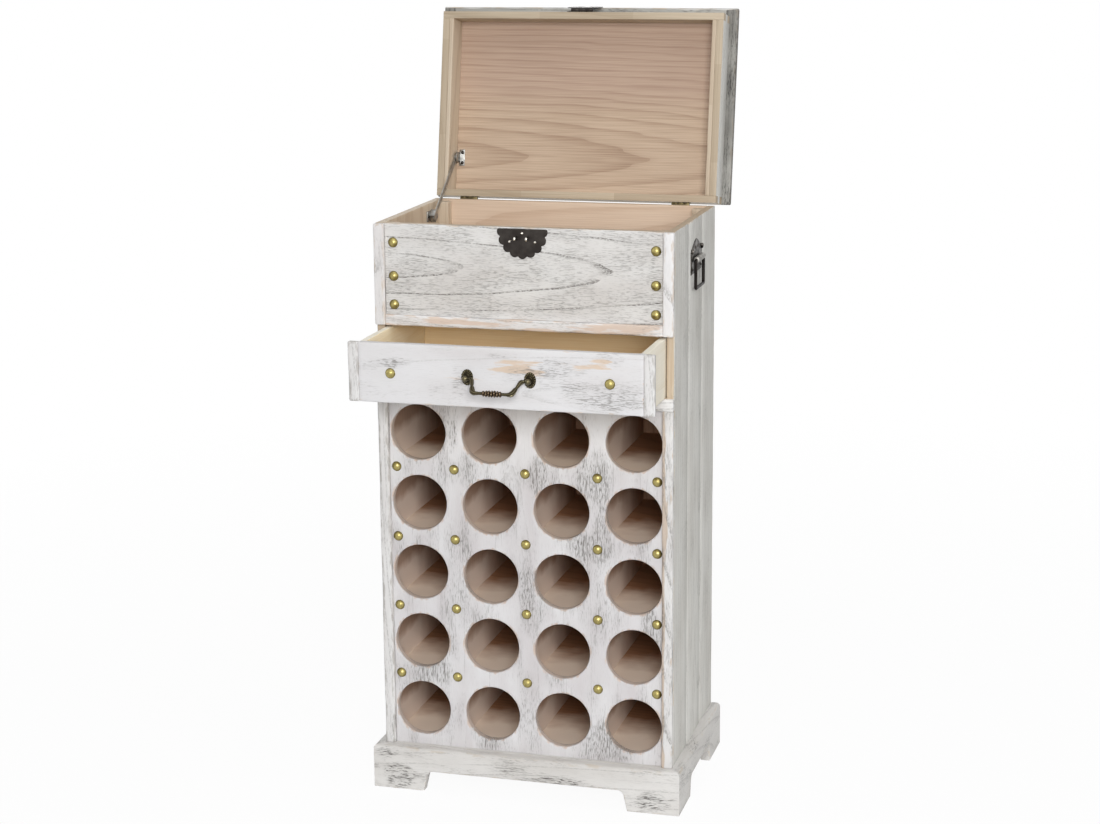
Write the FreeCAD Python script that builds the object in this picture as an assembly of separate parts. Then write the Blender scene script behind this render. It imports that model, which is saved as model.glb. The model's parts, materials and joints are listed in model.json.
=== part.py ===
"""Wine cabinet: a bottle rack, a drawer and a lidded chest stacked in one case on a bracket-foot plinth.

Millimetres. X runs to the right, Y from front to back and Z up. The origin is on the floor, at mid-width,
in the plane of the back. The drawer is modelled part-way out and the lid open, as the cabinet is shown.
"""
import FreeCAD, Part
import math
import os

V = FreeCAD.Vector

# Case
case_side_margin = 5.0
case_depth = 285.0
side_thickness = 12.0
front_panel_thickness = 12.0
chest_back_thickness = 12.0
rack_back_thickness = 6.0
plank_count = 3
plank_groove_width = 3.0
plank_groove_depth = 1.5
overrun = 5.0

# Plinth with bracket feet
plinth_height = 68.0
plinth_thickness = 15.0
plinth_chamfer = 4.0
foot_length = 80.0
foot_flare = 5.0
arch_height = 32.0
arch_radius = 10.0
case_foot_gap = 4.0
corner_block_size = 26.0
corner_block_lift = 3.0

# Bottle rack
hole_columns = 4
hole_rows = 5
hole_diameter = 85.0
hole_pitch_x = 110.0
hole_pitch_z = 108.5
rack_bottom_margin = 58.0
rack_top_margin = 59.0
shelf_thickness = 9.0
bottom_board_thickness = 10.0
halving_clearance = 0.2

# Face strips round the fronts
strip_width = 16.0
strip_thickness = 9.0
rack_rail_height = 18.0

# Drawer
drawer_floor_thickness = 12.0
drawer_space_height = 91.0
drawer_front_thickness = 12.0
drawer_front_bottom_gap = 1.5
drawer_front_top_gap = 2.5
drawer_side_thickness = 10.0
drawer_back_thickness = 10.0
drawer_bottom_thickness = 4.0
drawer_groove_depth = 5.0
drawer_groove_lift = 8.0
drawer_groove_clearance = 0.1
drawer_side_clearance = 1.5
drawer_slide_clearance = 0.4
drawer_side_drop = 1.0
drawer_back_drop = 6.0
drawer_rear_clearance = 6.0
drawer_stop_clearance = 0.5
drawer_opening = 118.0

# Chest
chest_height = 150.0
chest_floor_thickness = 12.0
chest_post_size = 18.0
chest_post_drop = 2.0

# Upholstery studs
stud_diameter = 15.0
stud_height = 5.0
chest_stud_inset = 27.5
chest_stud_rim_drop = 28.0
chest_stud_rail_lift = 14.0
chest_stud_middle_share = 0.54
rack_stud_inset = 25.0
drawer_stud_inset = 64.0

# Lid
lid_gap = 2.2
lid_depth = 290.0
lid_wall_height = 46.0
lid_side_thickness = 11.0
lid_rail_thickness = 11.0
lid_liner_thickness = 6.5
lid_top_thickness = 12.0
lid_overhang = 13.0
lid_finger_count = 3
lid_opening = 100.5

# Butt hinges
hinge_spacing = 341.0
hinge_length = 28.0
hinge_leaf_width = 10.0
hinge_leaf_thickness = 1.0
hinge_barrel_radius = 2.4
hinge_pin_radius = 1.1
hinge_clearance = 0.3
knuckle_count = 3
pin_clearance = 0.05

# Lock plate with its two eyes
lock_width = 76.0
lock_height = 44.0
lock_thickness = 1.2
lock_drop = 2.0
lock_lobes = 9
lock_lobe_radius = 7.2
lock_lobe_drop = 4.5
lock_eye_spacing = 17.5
lock_eye_drop = 15.5
lock_eye_thickness = 3.6
lock_eye_radius = 3.0
lock_eye_hole_radius = 1.3
lock_eye_reach = 9.0
lock_nail_diameter = 4.0
lock_nail_height = 1.5
lock_nail_top_drop = 8.5
lock_nail_side_drop = 21.0
lock_nail_side_spacing = 38.0

# Hasp on the lid
hasp_width = 48.0
hasp_leaf_height = 30.0
hasp_thickness = 1.2
hasp_barrel_radius = 3.6
hasp_barrel_length = 34.0
hasp_pin_radius = 1.2
hasp_axis_lift = 3.7
hasp_tongue_length = 50.0
hasp_curve_share = 0.5
hasp_slot_clearance = 1.0
hasp_slot_swing = 2.0
hasp_rest_clearance = 0.3

# Lid stay: a strap that turns on the lid and slides through a swivelling guide on the chest wall
stay_lid_reach = 66.0
stay_lid_rise = 33.0
stay_guide_drop = 20.0
stay_strap_width = 8.0
stay_strap_thickness = 1.6
stay_strap_setoff = 8.0
stay_clearance = 0.3
stay_pin_radius = 2.0
stay_guide_length = 14.0
stay_guide_width = 14.0
stay_guide_wall = 1.8
stay_plate_thickness = 2.0
stay_plate_length = 30.0
stay_plate_height = 16.0
stay_ear_thickness = 1.5
stay_flange_length = 26.0
stay_flange_width = 9.0
stay_rivet_head = 1.2

# Drawer pull
pull_spacing = 92.0
pull_rosette_width = 18.0
pull_rosette_height = 24.0
pull_rosette_thickness = 2.5
pull_boss_share = 0.62
pull_boss_thickness = 1.5
pull_post_radius = 3.5
pull_standoff = 11.0
pull_knob_radius = 4.5
pull_pin_radius = 1.6
pull_pin_depth = 3.5
pull_wire_radius = 2.5
pull_drop = 27.0
pull_neck = 5.0
pull_shoulder = 8.0
pull_bend_radius = 5.0
pull_bead_count = 7
pull_bead_length = 4.1
pull_bead_radius = 5.0
pull_end_bead_radius = 3.6
pull_waist_share = 0.8
pull_tilt = 57.0

# Side handles
handle_width = 74.0
handle_height = 50.0
handle_point_height = 16.0
handle_point_share = 0.75
handle_curve_share = 0.12
handle_plate_thickness = 1.5
handle_top_drop = 29.0
handle_pivot_drop = 29.0
handle_roll_length = 48.0
handle_roll_radius = 4.5
handle_wire_radius = 2.5
handle_pin_radius = 1.8
handle_pin_depth = 12.0
handle_bail_width = 55.0
handle_bail_drop = 42.0
handle_bend_radius = 8.0

# Places worked out from the sizes above
case_width = hole_columns * hole_pitch_x + 2 * case_side_margin
half_width = case_width / 2
inner_half = half_width - side_thickness
front_y = -case_depth
strip_face_y = front_y - strip_thickness
panel_back_y = front_y + front_panel_thickness
case_bottom = arch_height + case_foot_gap
plinth_half = half_width + plinth_thickness
plinth_front_y = strip_face_y - plinth_thickness
hole_xs = [(i - (hole_columns - 1) / 2) * hole_pitch_x for i in range(hole_columns)]
hole_zs = [plinth_height + rack_bottom_margin + j * hole_pitch_z for j in range(hole_rows)]
drawer_floor_height = hole_zs[-1] + rack_top_margin
drawer_floor_top = drawer_floor_height + drawer_floor_thickness
rack_rail_bottom = drawer_floor_top - rack_rail_height
chest_floor_height = drawer_floor_top + drawer_space_height
chest_floor_top = chest_floor_height + chest_floor_thickness
chest_rail_top = chest_floor_height + strip_width
rim_height = chest_floor_height + chest_height
divider_xs = [(a + b) / 2 for a, b in zip(hole_xs, hole_xs[1:])]
shelf_zs = [(a + b) / 2 for a, b in zip(hole_zs, hole_zs[1:])]
strip_half = half_width - strip_width
lid_rim_z = rim_height + lid_gap
lid_under_z = lid_rim_z + lid_wall_height
lid_front_y = -lid_depth
lid_inner_half = half_width - lid_side_thickness
hinge_y = hinge_barrel_radius + hinge_clearance
hinge_z = rim_height + lid_gap / 2
hasp_y = lid_front_y - hasp_barrel_radius
hasp_z = lid_rim_z + hasp_axis_lift
drawer_half = inner_half - drawer_side_clearance
drawer_front_bottom = drawer_floor_top + drawer_front_bottom_gap
drawer_front_top = chest_floor_height - drawer_front_top_gap
drawer_mid_z = (drawer_front_bottom + drawer_front_top) / 2
drawer_box_front_y = strip_face_y + drawer_front_thickness
drawer_box_back_y = -rack_back_thickness - drawer_rear_clearance
drawer_side_bottom = drawer_floor_top + drawer_slide_clearance
drawer_side_top = drawer_front_top - drawer_side_drop
pull_y = strip_face_y - pull_standoff
handle_y = front_y / 2
handle_top_z = rim_height - handle_top_drop
handle_pivot_z = handle_top_z - handle_pivot_drop
handle_pivot_x = half_width + handle_plate_thickness + handle_roll_radius


def block(x_span, y_span, z_span):
    """A box between the low and high value on each axis."""
    low = V(x_span[0], y_span[0], z_span[0])
    return Part.makeBox(x_span[1] - low.x, y_span[1] - low.y, z_span[1] - low.z, low)


def centred(half):
    """The span from -half to half."""
    return (-half, half)


def around(centre, length):
    """The span of a length about its centre."""
    return (centre - length / 2, centre + length / 2)


def prism(points, depth):
    """A polygon carried along a vector."""
    return Part.Face(Part.makePolygon(points + points[:1])).extrude(depth)


def rod(radius, start, end):
    """A round bar between two points."""
    return Part.makeCylinder(radius, (end - start).Length, start, end - start)


def mirrored(shape):
    """The same piece on the other side of the cabinet."""
    return shape.mirror(V(0, 0, 0), V(1, 0, 0))


def joined(shapes):
    """Shapes fused to one solid, without the seams."""
    return shapes[0].multiFuse(shapes[1:]).removeSplitter()


def dome(diameter, height):
    """A spherical cap on the plane Z = 0."""
    radius = diameter / 2
    sphere_radius = (radius ** 2 + height ** 2) / (2 * height)
    half_angle = math.asin(radius / sphere_radius) / 2
    centre_z = height - sphere_radius
    middle = V(sphere_radius * math.sin(half_angle), 0, centre_z + sphere_radius * math.cos(half_angle))
    base = V(0, 0, 0)
    rim = V(radius, 0, 0)
    top = V(0, 0, height)
    edges = [Part.Arc(rim, middle, top).toShape(), Part.makeLine(top, base), Part.makeLine(base, rim)]
    return Part.Face(Part.Wire(edges)).revolve(base, V(0, 0, 1), 360)


def facing_front(shape, place):
    """A piece modelled on Z turned to stand out towards the front, at a place."""
    turned = shape.copy()
    turned.rotate(V(0, 0, 0), V(1, 0, 0), 90)
    turned.translate(place)
    return turned


def rounded_wire(points, radius):
    """Straight runs through the points, with a tangent arc at each corner."""
    edges = []
    start = points[0]
    for before, corner, after in zip(points, points[1:], points[2:]):
        back = (before - corner).normalize()
        ahead = (after - corner).normalize()
        half_angle = back.getAngle(ahead) / 2
        setback = radius / math.tan(half_angle)
        bisector = (back + ahead).normalize()
        middle = corner + bisector * (radius / math.sin(half_angle) - radius)
        entry, leave = corner + back * setback, corner + ahead * setback
        edges += [Part.makeLine(start, entry), Part.Arc(entry, middle, leave).toShape()]
        start = leave
    edges.append(Part.makeLine(start, points[-1]))
    return Part.Wire(edges)


def wire_rod(points, bend_radius, radius):
    """A round wire bent along straight runs and arcs."""
    path = rounded_wire(points, bend_radius)
    circle = Part.makeCircle(radius, points[0], points[1] - points[0])
    return path.makePipeShell([Part.Wire([circle])], True, True)


def save(name, *solids):
    """Writes one node: a solid, or a group of separate solids."""
    shape = solids[0] if len(solids) == 1 else Part.makeCompound(list(solids))
    shape.exportStep("parts/" + name + ".step")


def opened(shape):
    """A piece of the closed lid turned to where the open lid holds it."""
    turned = shape.copy()
    turned.rotate(V(0, hinge_y, hinge_z), V(1, 0, 0), -lid_opening)
    return turned


def pulled_out(shape):
    """A piece of the closed drawer moved to where the drawer stands."""
    moved = shape.copy()
    moved.translate(V(0, -drawer_opening, 0))
    return moved


def arch_face(low, high, place):
    """The space between two bracket feet, as a face in a plane that place maps the points to."""
    inner_low, inner_high = low + foot_length, high - foot_length
    curve_low, curve_high = inner_low + foot_flare, inner_high - foot_flare
    spring = arch_height - arch_radius
    chord = arch_radius * math.cos(math.pi / 4)
    low_centre, high_centre = curve_low + arch_radius, curve_high - arch_radius
    low_middle = place(low_centre - chord, spring + chord)
    high_middle = place(high_centre + chord, spring + chord)
    edges = [
        Part.makeLine(place(inner_low, -overrun), place(inner_low, 0)),
        Part.makeLine(place(inner_low, 0), place(curve_low, spring)),
        Part.Arc(place(curve_low, spring), low_middle, place(low_centre, arch_height)).toShape(),
        Part.makeLine(place(low_centre, arch_height), place(high_centre, arch_height)),
        Part.Arc(place(high_centre, arch_height), high_middle, place(curve_high, spring)).toShape(),
        Part.makeLine(place(curve_high, spring), place(inner_high, 0)),
        Part.makeLine(place(inner_high, 0), place(inner_high, -overrun)),
        Part.makeLine(place(inner_high, -overrun), place(inner_low, -overrun)),
    ]
    return Part.Face(Part.Wire(edges))


def side_panel():
    """The right side: planks edge to edge, with a shallow V where they meet."""
    panel = block((inner_half, half_width), (front_y, 0), (case_bottom, rim_height))
    for seam in range(1, plank_count):
        y = front_y + case_depth * seam / plank_count
        groove = prism(
            [
                V(half_width - plank_groove_depth, y, case_bottom - overrun),
                V(half_width + plank_groove_depth, y - plank_groove_width, case_bottom - overrun),
                V(half_width + plank_groove_depth, y + plank_groove_width, case_bottom - overrun),
            ],
            V(0, 0, rim_height - case_bottom + 2 * overrun),
        )
        panel = panel.cut(groove)
    return panel


def make_plinth(sides):
    """Four boards with bracket feet, mitred in front, and what they hide."""
    ring = block(centred(plinth_half), (plinth_front_y, 0), (0, plinth_height))
    top_edges = []
    for edge in ring.Edges:
        middle = edge.CenterOfMass
        at_back = abs(middle.y) < plinth_chamfer
        level = abs(edge.Vertexes[0].Z - edge.Vertexes[1].Z) < plinth_chamfer
        if level and middle.z > plinth_height / 2 and not at_back:
            top_edges.append(edge)
    ring = ring.makeChamfer(plinth_chamfer, top_edges)
    hollow_tall = (-overrun, plinth_height + overrun)
    hollow = block(centred(half_width), (strip_face_y, -plinth_thickness), hollow_tall)
    front_arch = arch_face(-plinth_half, plinth_half, lambda u, z: V(u, plinth_front_y - overrun, z))
    side_arch = arch_face(plinth_front_y, 0, lambda u, z: V(-plinth_half - overrun, u, z))
    front_to_back = V(0, -plinth_front_y + 2 * overrun, 0)
    side_to_side = V(2 * plinth_half + 2 * overrun, 0, 0)
    ring = ring.cut(hollow).cut(front_arch.extrude(front_to_back)).cut(side_arch.extrude(side_to_side))
    tall = V(0, 0, plinth_height)
    front_zone = [
        V(-plinth_half, plinth_front_y, 0),
        V(plinth_half, plinth_front_y, 0),
        V(half_width, strip_face_y, 0),
        V(-half_width, strip_face_y, 0),
    ]
    right_zone = [
        V(plinth_half, plinth_front_y, 0),
        V(plinth_half, 0, 0),
        V(half_width, 0, 0),
        V(half_width, strip_face_y, 0),
    ]
    back_zone = block(centred(half_width), (-plinth_thickness, 0), (0, plinth_height))
    right = ring.common(prism(right_zone, tall))
    save("plinth_front", ring.common(prism(front_zone, tall)))
    save("plinth_right", right)
    save("plinth_left", mirrored(right))
    save("plinth_back", ring.common(back_zone).cut(sides[0]).cut(sides[1]))
    packing_tall = (case_bottom, plinth_height)
    save("plinth_packing_strip", block(centred(half_width), (strip_face_y, front_y), packing_tall))
    blocks = []
    for y in (strip_face_y, -plinth_thickness - corner_block_size):
        span = (y, y + corner_block_size)
        corner = block((half_width - corner_block_size, half_width), span, (corner_block_lift, case_bottom))
        blocks += [corner, mirrored(corner)]
    save("plinth_corner_blocks", *blocks)


def make_case(sides):
    """Side panels, backs, floors and the face strips."""
    save("side_panel_right", sides[0])
    save("side_panel_left", sides[1])
    inside = centred(inner_half)
    bottom_top = plinth_height + bottom_board_thickness
    save("bottom_board", block(inside, (panel_back_y, -rack_back_thickness), (plinth_height, bottom_top)))
    save("rack_back_panel", block(inside, (-rack_back_thickness, 0), (plinth_height, chest_floor_height)))
    floor_depth = (front_y, -rack_back_thickness)
    save("drawer_floor", block(inside, floor_depth, (drawer_floor_height, drawer_floor_top)))
    chest_tall = (chest_floor_height, rim_height)
    save("chest_back_panel", block(inside, (-chest_back_thickness, 0), chest_tall))
    save("chest_front_panel", block(inside, (front_y, panel_back_y), chest_tall))
    chest_inside = (panel_back_y, -chest_back_thickness)
    save("chest_floor", block(inside, chest_inside, (chest_floor_height, chest_floor_top)))
    posts = []
    for y in (panel_back_y, -chest_back_thickness - chest_post_size):
        post_span = (inner_half - chest_post_size, inner_half)
        post = block(post_span, (y, y + chest_post_size), (chest_floor_top, rim_height - chest_post_drop))
        posts += [post, mirrored(post)]
    save("chest_corner_posts", *posts)
    strip = (strip_face_y, front_y)
    chest_stile = block((strip_half, half_width), strip, chest_tall)
    rack_stile = block((strip_half, half_width), strip, (plinth_height, rack_rail_bottom))
    save("chest_stile_right", chest_stile)
    save("chest_stile_left", mirrored(chest_stile))
    save("rack_stile_right", rack_stile)
    save("rack_stile_left", mirrored(rack_stile))
    save("chest_bottom_rail", block(centred(strip_half), strip, (chest_floor_height, chest_rail_top)))
    save("rack_top_rail", block(centred(half_width), strip, (rack_rail_bottom, drawer_floor_top)))


def make_rack():
    """The drilled front and the egg-crate of shelves and dividers behind it."""
    panel = block(centred(inner_half), (front_y, panel_back_y), (case_bottom, drawer_floor_height))
    through = V(0, front_panel_thickness + 2 * overrun, 0)
    for x in hole_xs:
        for z in hole_zs:
            start = V(x, front_y - overrun, z)
            panel = panel.cut(rod(hole_diameter / 2, start, start + through))
    save("rack_front_panel", panel)
    crate_mid_y = (panel_back_y - rack_back_thickness) / 2
    slot = shelf_thickness + 2 * halving_clearance
    crate = (panel_back_y, -rack_back_thickness)
    for number, z in enumerate(shelf_zs, start=1):
        shelf = block(centred(inner_half), crate, around(z, shelf_thickness))
        for x in divider_xs:
            shelf = shelf.cut(block(around(x, slot), (crate_mid_y, 0), around(z, slot + overrun)))
        save("rack_shelf_%d" % number, shelf)
    tall = (plinth_height + bottom_board_thickness, drawer_floor_height)
    for number, x in enumerate(divider_xs, start=1):
        divider = block(around(x, shelf_thickness), crate, tall)
        for z in shelf_zs:
            front_half = (front_y, crate_mid_y + halving_clearance)
            divider = divider.cut(block(around(x, slot + overrun), front_half, around(z, slot)))
        save("rack_divider_%d" % number, divider)


def make_studs():
    """Domed studs on the chest, the rack and the drawer."""
    stud = dome(stud_diameter, stud_height)
    chest_x = half_width - chest_stud_inset
    top_z = rim_height - chest_stud_rim_drop
    low_z = chest_rail_top + chest_stud_rail_lift
    middle_z = top_z - chest_stud_middle_share * (top_z - low_z)
    chest_places = [V(x, front_y, z) for x in (-chest_x, chest_x) for z in (top_z, middle_z, low_z)]
    save("chest_studs", *[facing_front(stud, place) for place in chest_places])
    rack_xs = [-half_width + rack_stud_inset] + divider_xs + [half_width - rack_stud_inset]
    save("rack_studs", *[facing_front(stud, V(x, front_y, z)) for x in rack_xs for z in shelf_zs])
    drawer_x = half_width - drawer_stud_inset
    drawer = [facing_front(stud, V(x, strip_face_y, drawer_mid_z)) for x in (-drawer_x, drawer_x)]
    save("drawer_studs", *[pulled_out(one) for one in drawer])


def make_drawer():
    """A box on the drawer floor, with end strips that lap over the side panels."""
    front_tall = (drawer_front_bottom, drawer_front_top)
    front = block(centred(strip_half), (strip_face_y, drawer_box_front_y), front_tall)
    strip_back = front_y - drawer_stop_clearance
    end_strip = block((strip_half, half_width), (strip_face_y, strip_back), front_tall)
    side_span = (drawer_half - drawer_side_thickness, drawer_half)
    side_tall = (drawer_side_bottom, drawer_side_top)
    side = block(side_span, (drawer_box_front_y, drawer_box_back_y), side_tall)
    inside_half = side_span[0]
    back_span = (drawer_box_back_y - drawer_back_thickness, drawer_box_back_y)
    back = block(centred(inside_half), back_span, (drawer_side_bottom, drawer_side_top - drawer_back_drop))
    panel_z = drawer_side_bottom + drawer_groove_lift
    panel_half = inside_half + drawer_groove_depth
    panel_y = (drawer_box_front_y - drawer_groove_depth, back_span[0] + drawer_groove_depth)
    panel = block(centred(panel_half), panel_y, (panel_z, panel_z + drawer_bottom_thickness))
    room = drawer_groove_clearance
    groove = block(
        centred(panel_half + room),
        (panel_y[0] - room, panel_y[1] + room),
        (panel_z - room, panel_z + drawer_bottom_thickness + room),
    )
    save("drawer_front", pulled_out(front.cut(groove)))
    save("drawer_end_strips", pulled_out(end_strip), pulled_out(mirrored(end_strip)))
    save("drawer_side_right", pulled_out(side.cut(groove)))
    save("drawer_side_left", pulled_out(mirrored(side.cut(groove))))
    save("drawer_back", pulled_out(back.cut(groove)))
    save("drawer_bottom", pulled_out(panel))


def make_rosettes():
    """Two oval rosettes on the drawer front, each with a post, a knob and a bore for the bail's pin."""
    rosettes = []
    for side in (-1, 1):
        x = side * pull_spacing / 2
        face = V(x, strip_face_y, drawer_mid_z)
        pivot = V(x, pull_y, drawer_mid_z)
        ovals = []
        depth = 0
        for share, thickness in ((1, pull_rosette_thickness), (pull_boss_share, pull_boss_thickness)):
            long_radius = pull_rosette_height / 2 * share
            short_radius = pull_rosette_width / 2 * share
            outline = Part.Ellipse(V(0, 0, depth), long_radius, short_radius).toShape()
            oval = Part.Face(Part.Wire([outline])).extrude(V(0, 0, thickness))
            oval.rotate(V(0, 0, 0), V(0, 0, 1), 90)
            ovals.append(facing_front(oval, face))
            depth += thickness
        post = rod(pull_post_radius, face, pivot)
        knob = Part.makeSphere(pull_knob_radius, pivot)
        inner = pivot - V(side * (pull_knob_radius + overrun), 0, 0)
        seat_end = pivot - V(side * (pull_knob_radius - pull_pin_depth - pin_clearance), 0, 0)
        bore = rod(pull_pin_radius + pin_clearance, inner, seat_end)
        rosettes.append(pulled_out(joined(ovals + [post, knob]).cut(bore)))
    save("drawer_pull_rosettes", *rosettes)


def bead_profile(middle):
    """Edges of the beaded grip on the bail, fullest in the middle, closed along its axis."""
    half_length = pull_bead_count * pull_bead_length / 2
    edges = []
    for bead in range(pull_bead_count):
        start = middle.x - half_length + bead * pull_bead_length
        offset = (start + pull_bead_length / 2 - middle.x) / (half_length - pull_bead_length / 2)
        crown = pull_bead_radius - (pull_bead_radius - pull_end_bead_radius) * offset ** 2
        waist = pull_end_bead_radius * pull_waist_share
        left = V(start, middle.y, middle.z - waist)
        top = V(start + pull_bead_length / 2, middle.y, middle.z - crown)
        right = V(start + pull_bead_length, middle.y, middle.z - waist)
        edges.append(Part.Arc(left, top, right).toShape())
    left_end = V(middle.x - half_length, middle.y, middle.z)
    right_end = V(middle.x + half_length, middle.y, middle.z)
    edges += [
        Part.makeLine(edges[-1].Vertexes[-1].Point, right_end),
        Part.makeLine(right_end, left_end),
        Part.makeLine(left_end, edges[0].Vertexes[0].Point),
    ]
    return edges


def make_pull_bail():
    """A swan-neck bail with a beaded grip, turned forward on its two pins."""
    end_x = pull_spacing / 2 - pull_knob_radius - pin_clearance
    neck_x = end_x - pull_neck
    low_x = neck_x - pull_shoulder
    low_z = drawer_mid_z - pull_drop
    shape = [
        V(-end_x, pull_y, drawer_mid_z),
        V(-neck_x, pull_y, drawer_mid_z),
        V(-low_x, pull_y, low_z),
        V(low_x, pull_y, low_z),
        V(neck_x, pull_y, drawer_mid_z),
        V(end_x, pull_y, drawer_mid_z),
    ]
    pieces = [wire_rod(shape, pull_bend_radius, pull_wire_radius)]
    for side in (-1, 1):
        root = V(side * neck_x, pull_y, drawer_mid_z)
        tip = V(side * (end_x + pull_pin_depth), pull_y, drawer_mid_z)
        pieces.append(rod(pull_pin_radius, root, tip))
    middle = V(0, pull_y, low_z)
    pieces.append(Part.Face(Part.Wire(bead_profile(middle))).revolve(middle, V(1, 0, 0), 360))
    bail = joined(pieces)
    bail.rotate(V(0, pull_y, drawer_mid_z), V(1, 0, 0), -pull_tilt)
    save("drawer_pull_bail", pulled_out(bail))


def scalloped_plate(y):
    """The lock plate: lobes along a half ellipse under a straight top, with its back on the plane y."""
    top_z = rim_height - lock_drop
    reach_x = lock_width / 2 - lock_lobe_radius
    reach_z = lock_height - lock_lobe_drop - lock_lobe_radius
    thickness = V(0, -lock_thickness, 0)
    centres = []
    for lobe in range(lock_lobes):
        angle = math.pi * lobe / (lock_lobes - 1)
        z = top_z - lock_lobe_drop - reach_z * math.sin(angle)
        centres.append(V(reach_x * math.cos(angle), y, z))
    middle = centres + [V(-reach_x, y, top_z), V(reach_x, y, top_z)]
    lobes = [rod(lock_lobe_radius, centre, centre + thickness) for centre in centres]
    plate = joined([prism(middle, thickness)] + lobes)
    above = block(centred(lock_width), around(y, 2 * overrun), (top_z, top_z + lock_height))
    return plate.cut(above)


def make_lock():
    """The lock plate on the chest front, its eyes and its nails."""
    save("lock_plate", scalloped_plate(front_y))
    face_y = front_y - lock_thickness
    eye_z = rim_height - lock_eye_drop
    pieces = []
    for x in (-lock_eye_spacing / 2, lock_eye_spacing / 2):
        span = around(x, lock_eye_thickness)
        centre_y = face_y - lock_eye_reach
        shank = block(span, (centre_y, face_y), around(eye_z, 2 * lock_eye_radius))
        ring = rod(lock_eye_radius, V(span[0], centre_y, eye_z), V(span[1], centre_y, eye_z))
        hole = rod(lock_eye_hole_radius, V(span[0], centre_y, eye_z), V(span[1], centre_y, eye_z))
        pieces.append(joined([shank, ring]).cut(hole))
    nail = dome(lock_nail_diameter, lock_nail_height)
    side_x = lock_nail_side_spacing / 2
    nail_places = [(0, lock_nail_top_drop), (-side_x, lock_nail_side_drop), (side_x, lock_nail_side_drop)]
    pieces += [facing_front(nail, V(x, face_y, rim_height - drop)) for x, drop in nail_places]
    save("lock_eyes_and_nails", *pieces)


def hasp_outline(half, straight_z, tip_z):
    """The outline of a hasp plate on the lid's front: square at one end and rounded at the tip."""
    curve_z = tip_z + (straight_z - tip_z) / abs(straight_z - tip_z) * half * hasp_curve_share
    corners = [(-half, curve_z), (-half, straight_z), (half, straight_z), (half, curve_z)]
    points = [V(x, lid_front_y, z) for x, z in corners]
    edges = [Part.makeLine(a, b) for a, b in zip(points, points[1:])]
    edges.append(Part.Arc(points[-1], V(0, lid_front_y, tip_z), points[0]).toShape())
    return Part.Face(Part.Wire(edges)).extrude(V(0, -hasp_thickness, 0))


def make_hasp():
    """A leaf on the lid's front with its pin, and the slotted tongue, folded back on the top board."""
    axis = V(0, hasp_y, hasp_z)
    end = V(hasp_barrel_length / 2, 0, 0)
    inner = V(hasp_barrel_length / knuckle_count / 2, 0, 0)
    room = V(hinge_clearance, 0, 0)
    clear_radius = hasp_barrel_radius + hinge_clearance
    leaf = hasp_outline(hasp_width / 2, hasp_z, hasp_z + hasp_leaf_height)
    leaf = leaf.cut(rod(clear_radius, axis - inner - room, axis + inner + room))
    right_barrel = rod(hasp_barrel_radius, axis + inner, axis + end)
    pin = rod(hasp_pin_radius, axis - end, axis + end)
    save("hasp_leaf", opened(joined([leaf, right_barrel, mirrored(right_barrel), pin])))

    knuckle = rod(hasp_barrel_radius, axis - inner + room, axis + inner - room)
    blade_top = hasp_z - clear_radius
    root_half = inner.x - room.x
    root = block(centred(root_half), (lid_front_y - hasp_thickness, lid_front_y), (blade_top, hasp_z))
    blade = hasp_outline(hasp_width / 2, blade_top, hasp_z - hasp_tongue_length)
    pin_bore = rod(hasp_pin_radius + pin_clearance, axis - end, axis + end)
    tongue = joined([knuckle, root, blade]).cut(pin_bore)
    slot_width = lock_eye_thickness + 2 * hasp_slot_clearance
    slot_z = around(rim_height - lock_eye_drop, 2 * (lock_eye_radius + hasp_slot_swing))
    for x in (-lock_eye_spacing / 2, lock_eye_spacing / 2):
        tongue = tongue.cut(block(around(x, slot_width), around(lid_front_y, 2 * overrun), slot_z))
    edge_out = lid_overhang - hasp_barrel_radius
    edge_up = lid_wall_height - hasp_axis_lift
    blade_out = hasp_barrel_radius - hasp_thickness - hasp_rest_clearance
    lean = math.atan2(edge_out, edge_up) - math.asin(blade_out / math.hypot(edge_out, edge_up))
    tongue.rotate(axis, V(1, 0, 0), math.degrees(lean) - 180)
    save("hasp_tongue", opened(tongue))


def make_lid():
    """Finger-jointed walls, inner liners and an overhanging top board."""
    tall = (lid_rim_z, lid_under_z)
    full_depth = (lid_front_y, 0)
    front_span = (lid_front_y, lid_front_y + lid_rail_thickness)
    back_span = (-lid_rail_thickness, 0)
    side = block((lid_inner_half, half_width), full_depth, tall)
    front = block(centred(half_width), front_span, tall)
    back = block(centred(half_width), back_span, tall)
    finger = lid_wall_height / lid_finger_count
    for number in range(lid_finger_count):
        finger_tall = (lid_rim_z + number * finger, lid_rim_z + (number + 1) * finger)
        for span in (front_span, back_span):
            corner = block((lid_inner_half, half_width), span, finger_tall)
            if number % 2 == 0:
                side = side.cut(corner)
            elif span is front_span:
                front = front.cut(corner).cut(mirrored(corner))
            else:
                back = back.cut(corner).cut(mirrored(corner))
    save("lid_side_right", opened(side))
    save("lid_side_left", opened(mirrored(side)))
    save("lid_front_rail", opened(front))
    save("lid_back_rail", opened(back))
    liner_span = (lid_inner_half - lid_liner_thickness, lid_inner_half)
    liner = block(liner_span, (front_span[1], back_span[0]), tall)
    save("lid_liners", opened(liner), opened(mirrored(liner)))
    board = block(
        centred(half_width + lid_overhang),
        (lid_front_y - lid_overhang, 0),
        (lid_under_z, lid_under_z + lid_top_thickness),
    )
    save("lid_top_board", opened(board))


def on_hinge_line(radius, low, high):
    """A round bar along the lid's hinge line."""
    return rod(radius, V(low, hinge_y, hinge_z), V(high, hinge_y, hinge_z))


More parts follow.
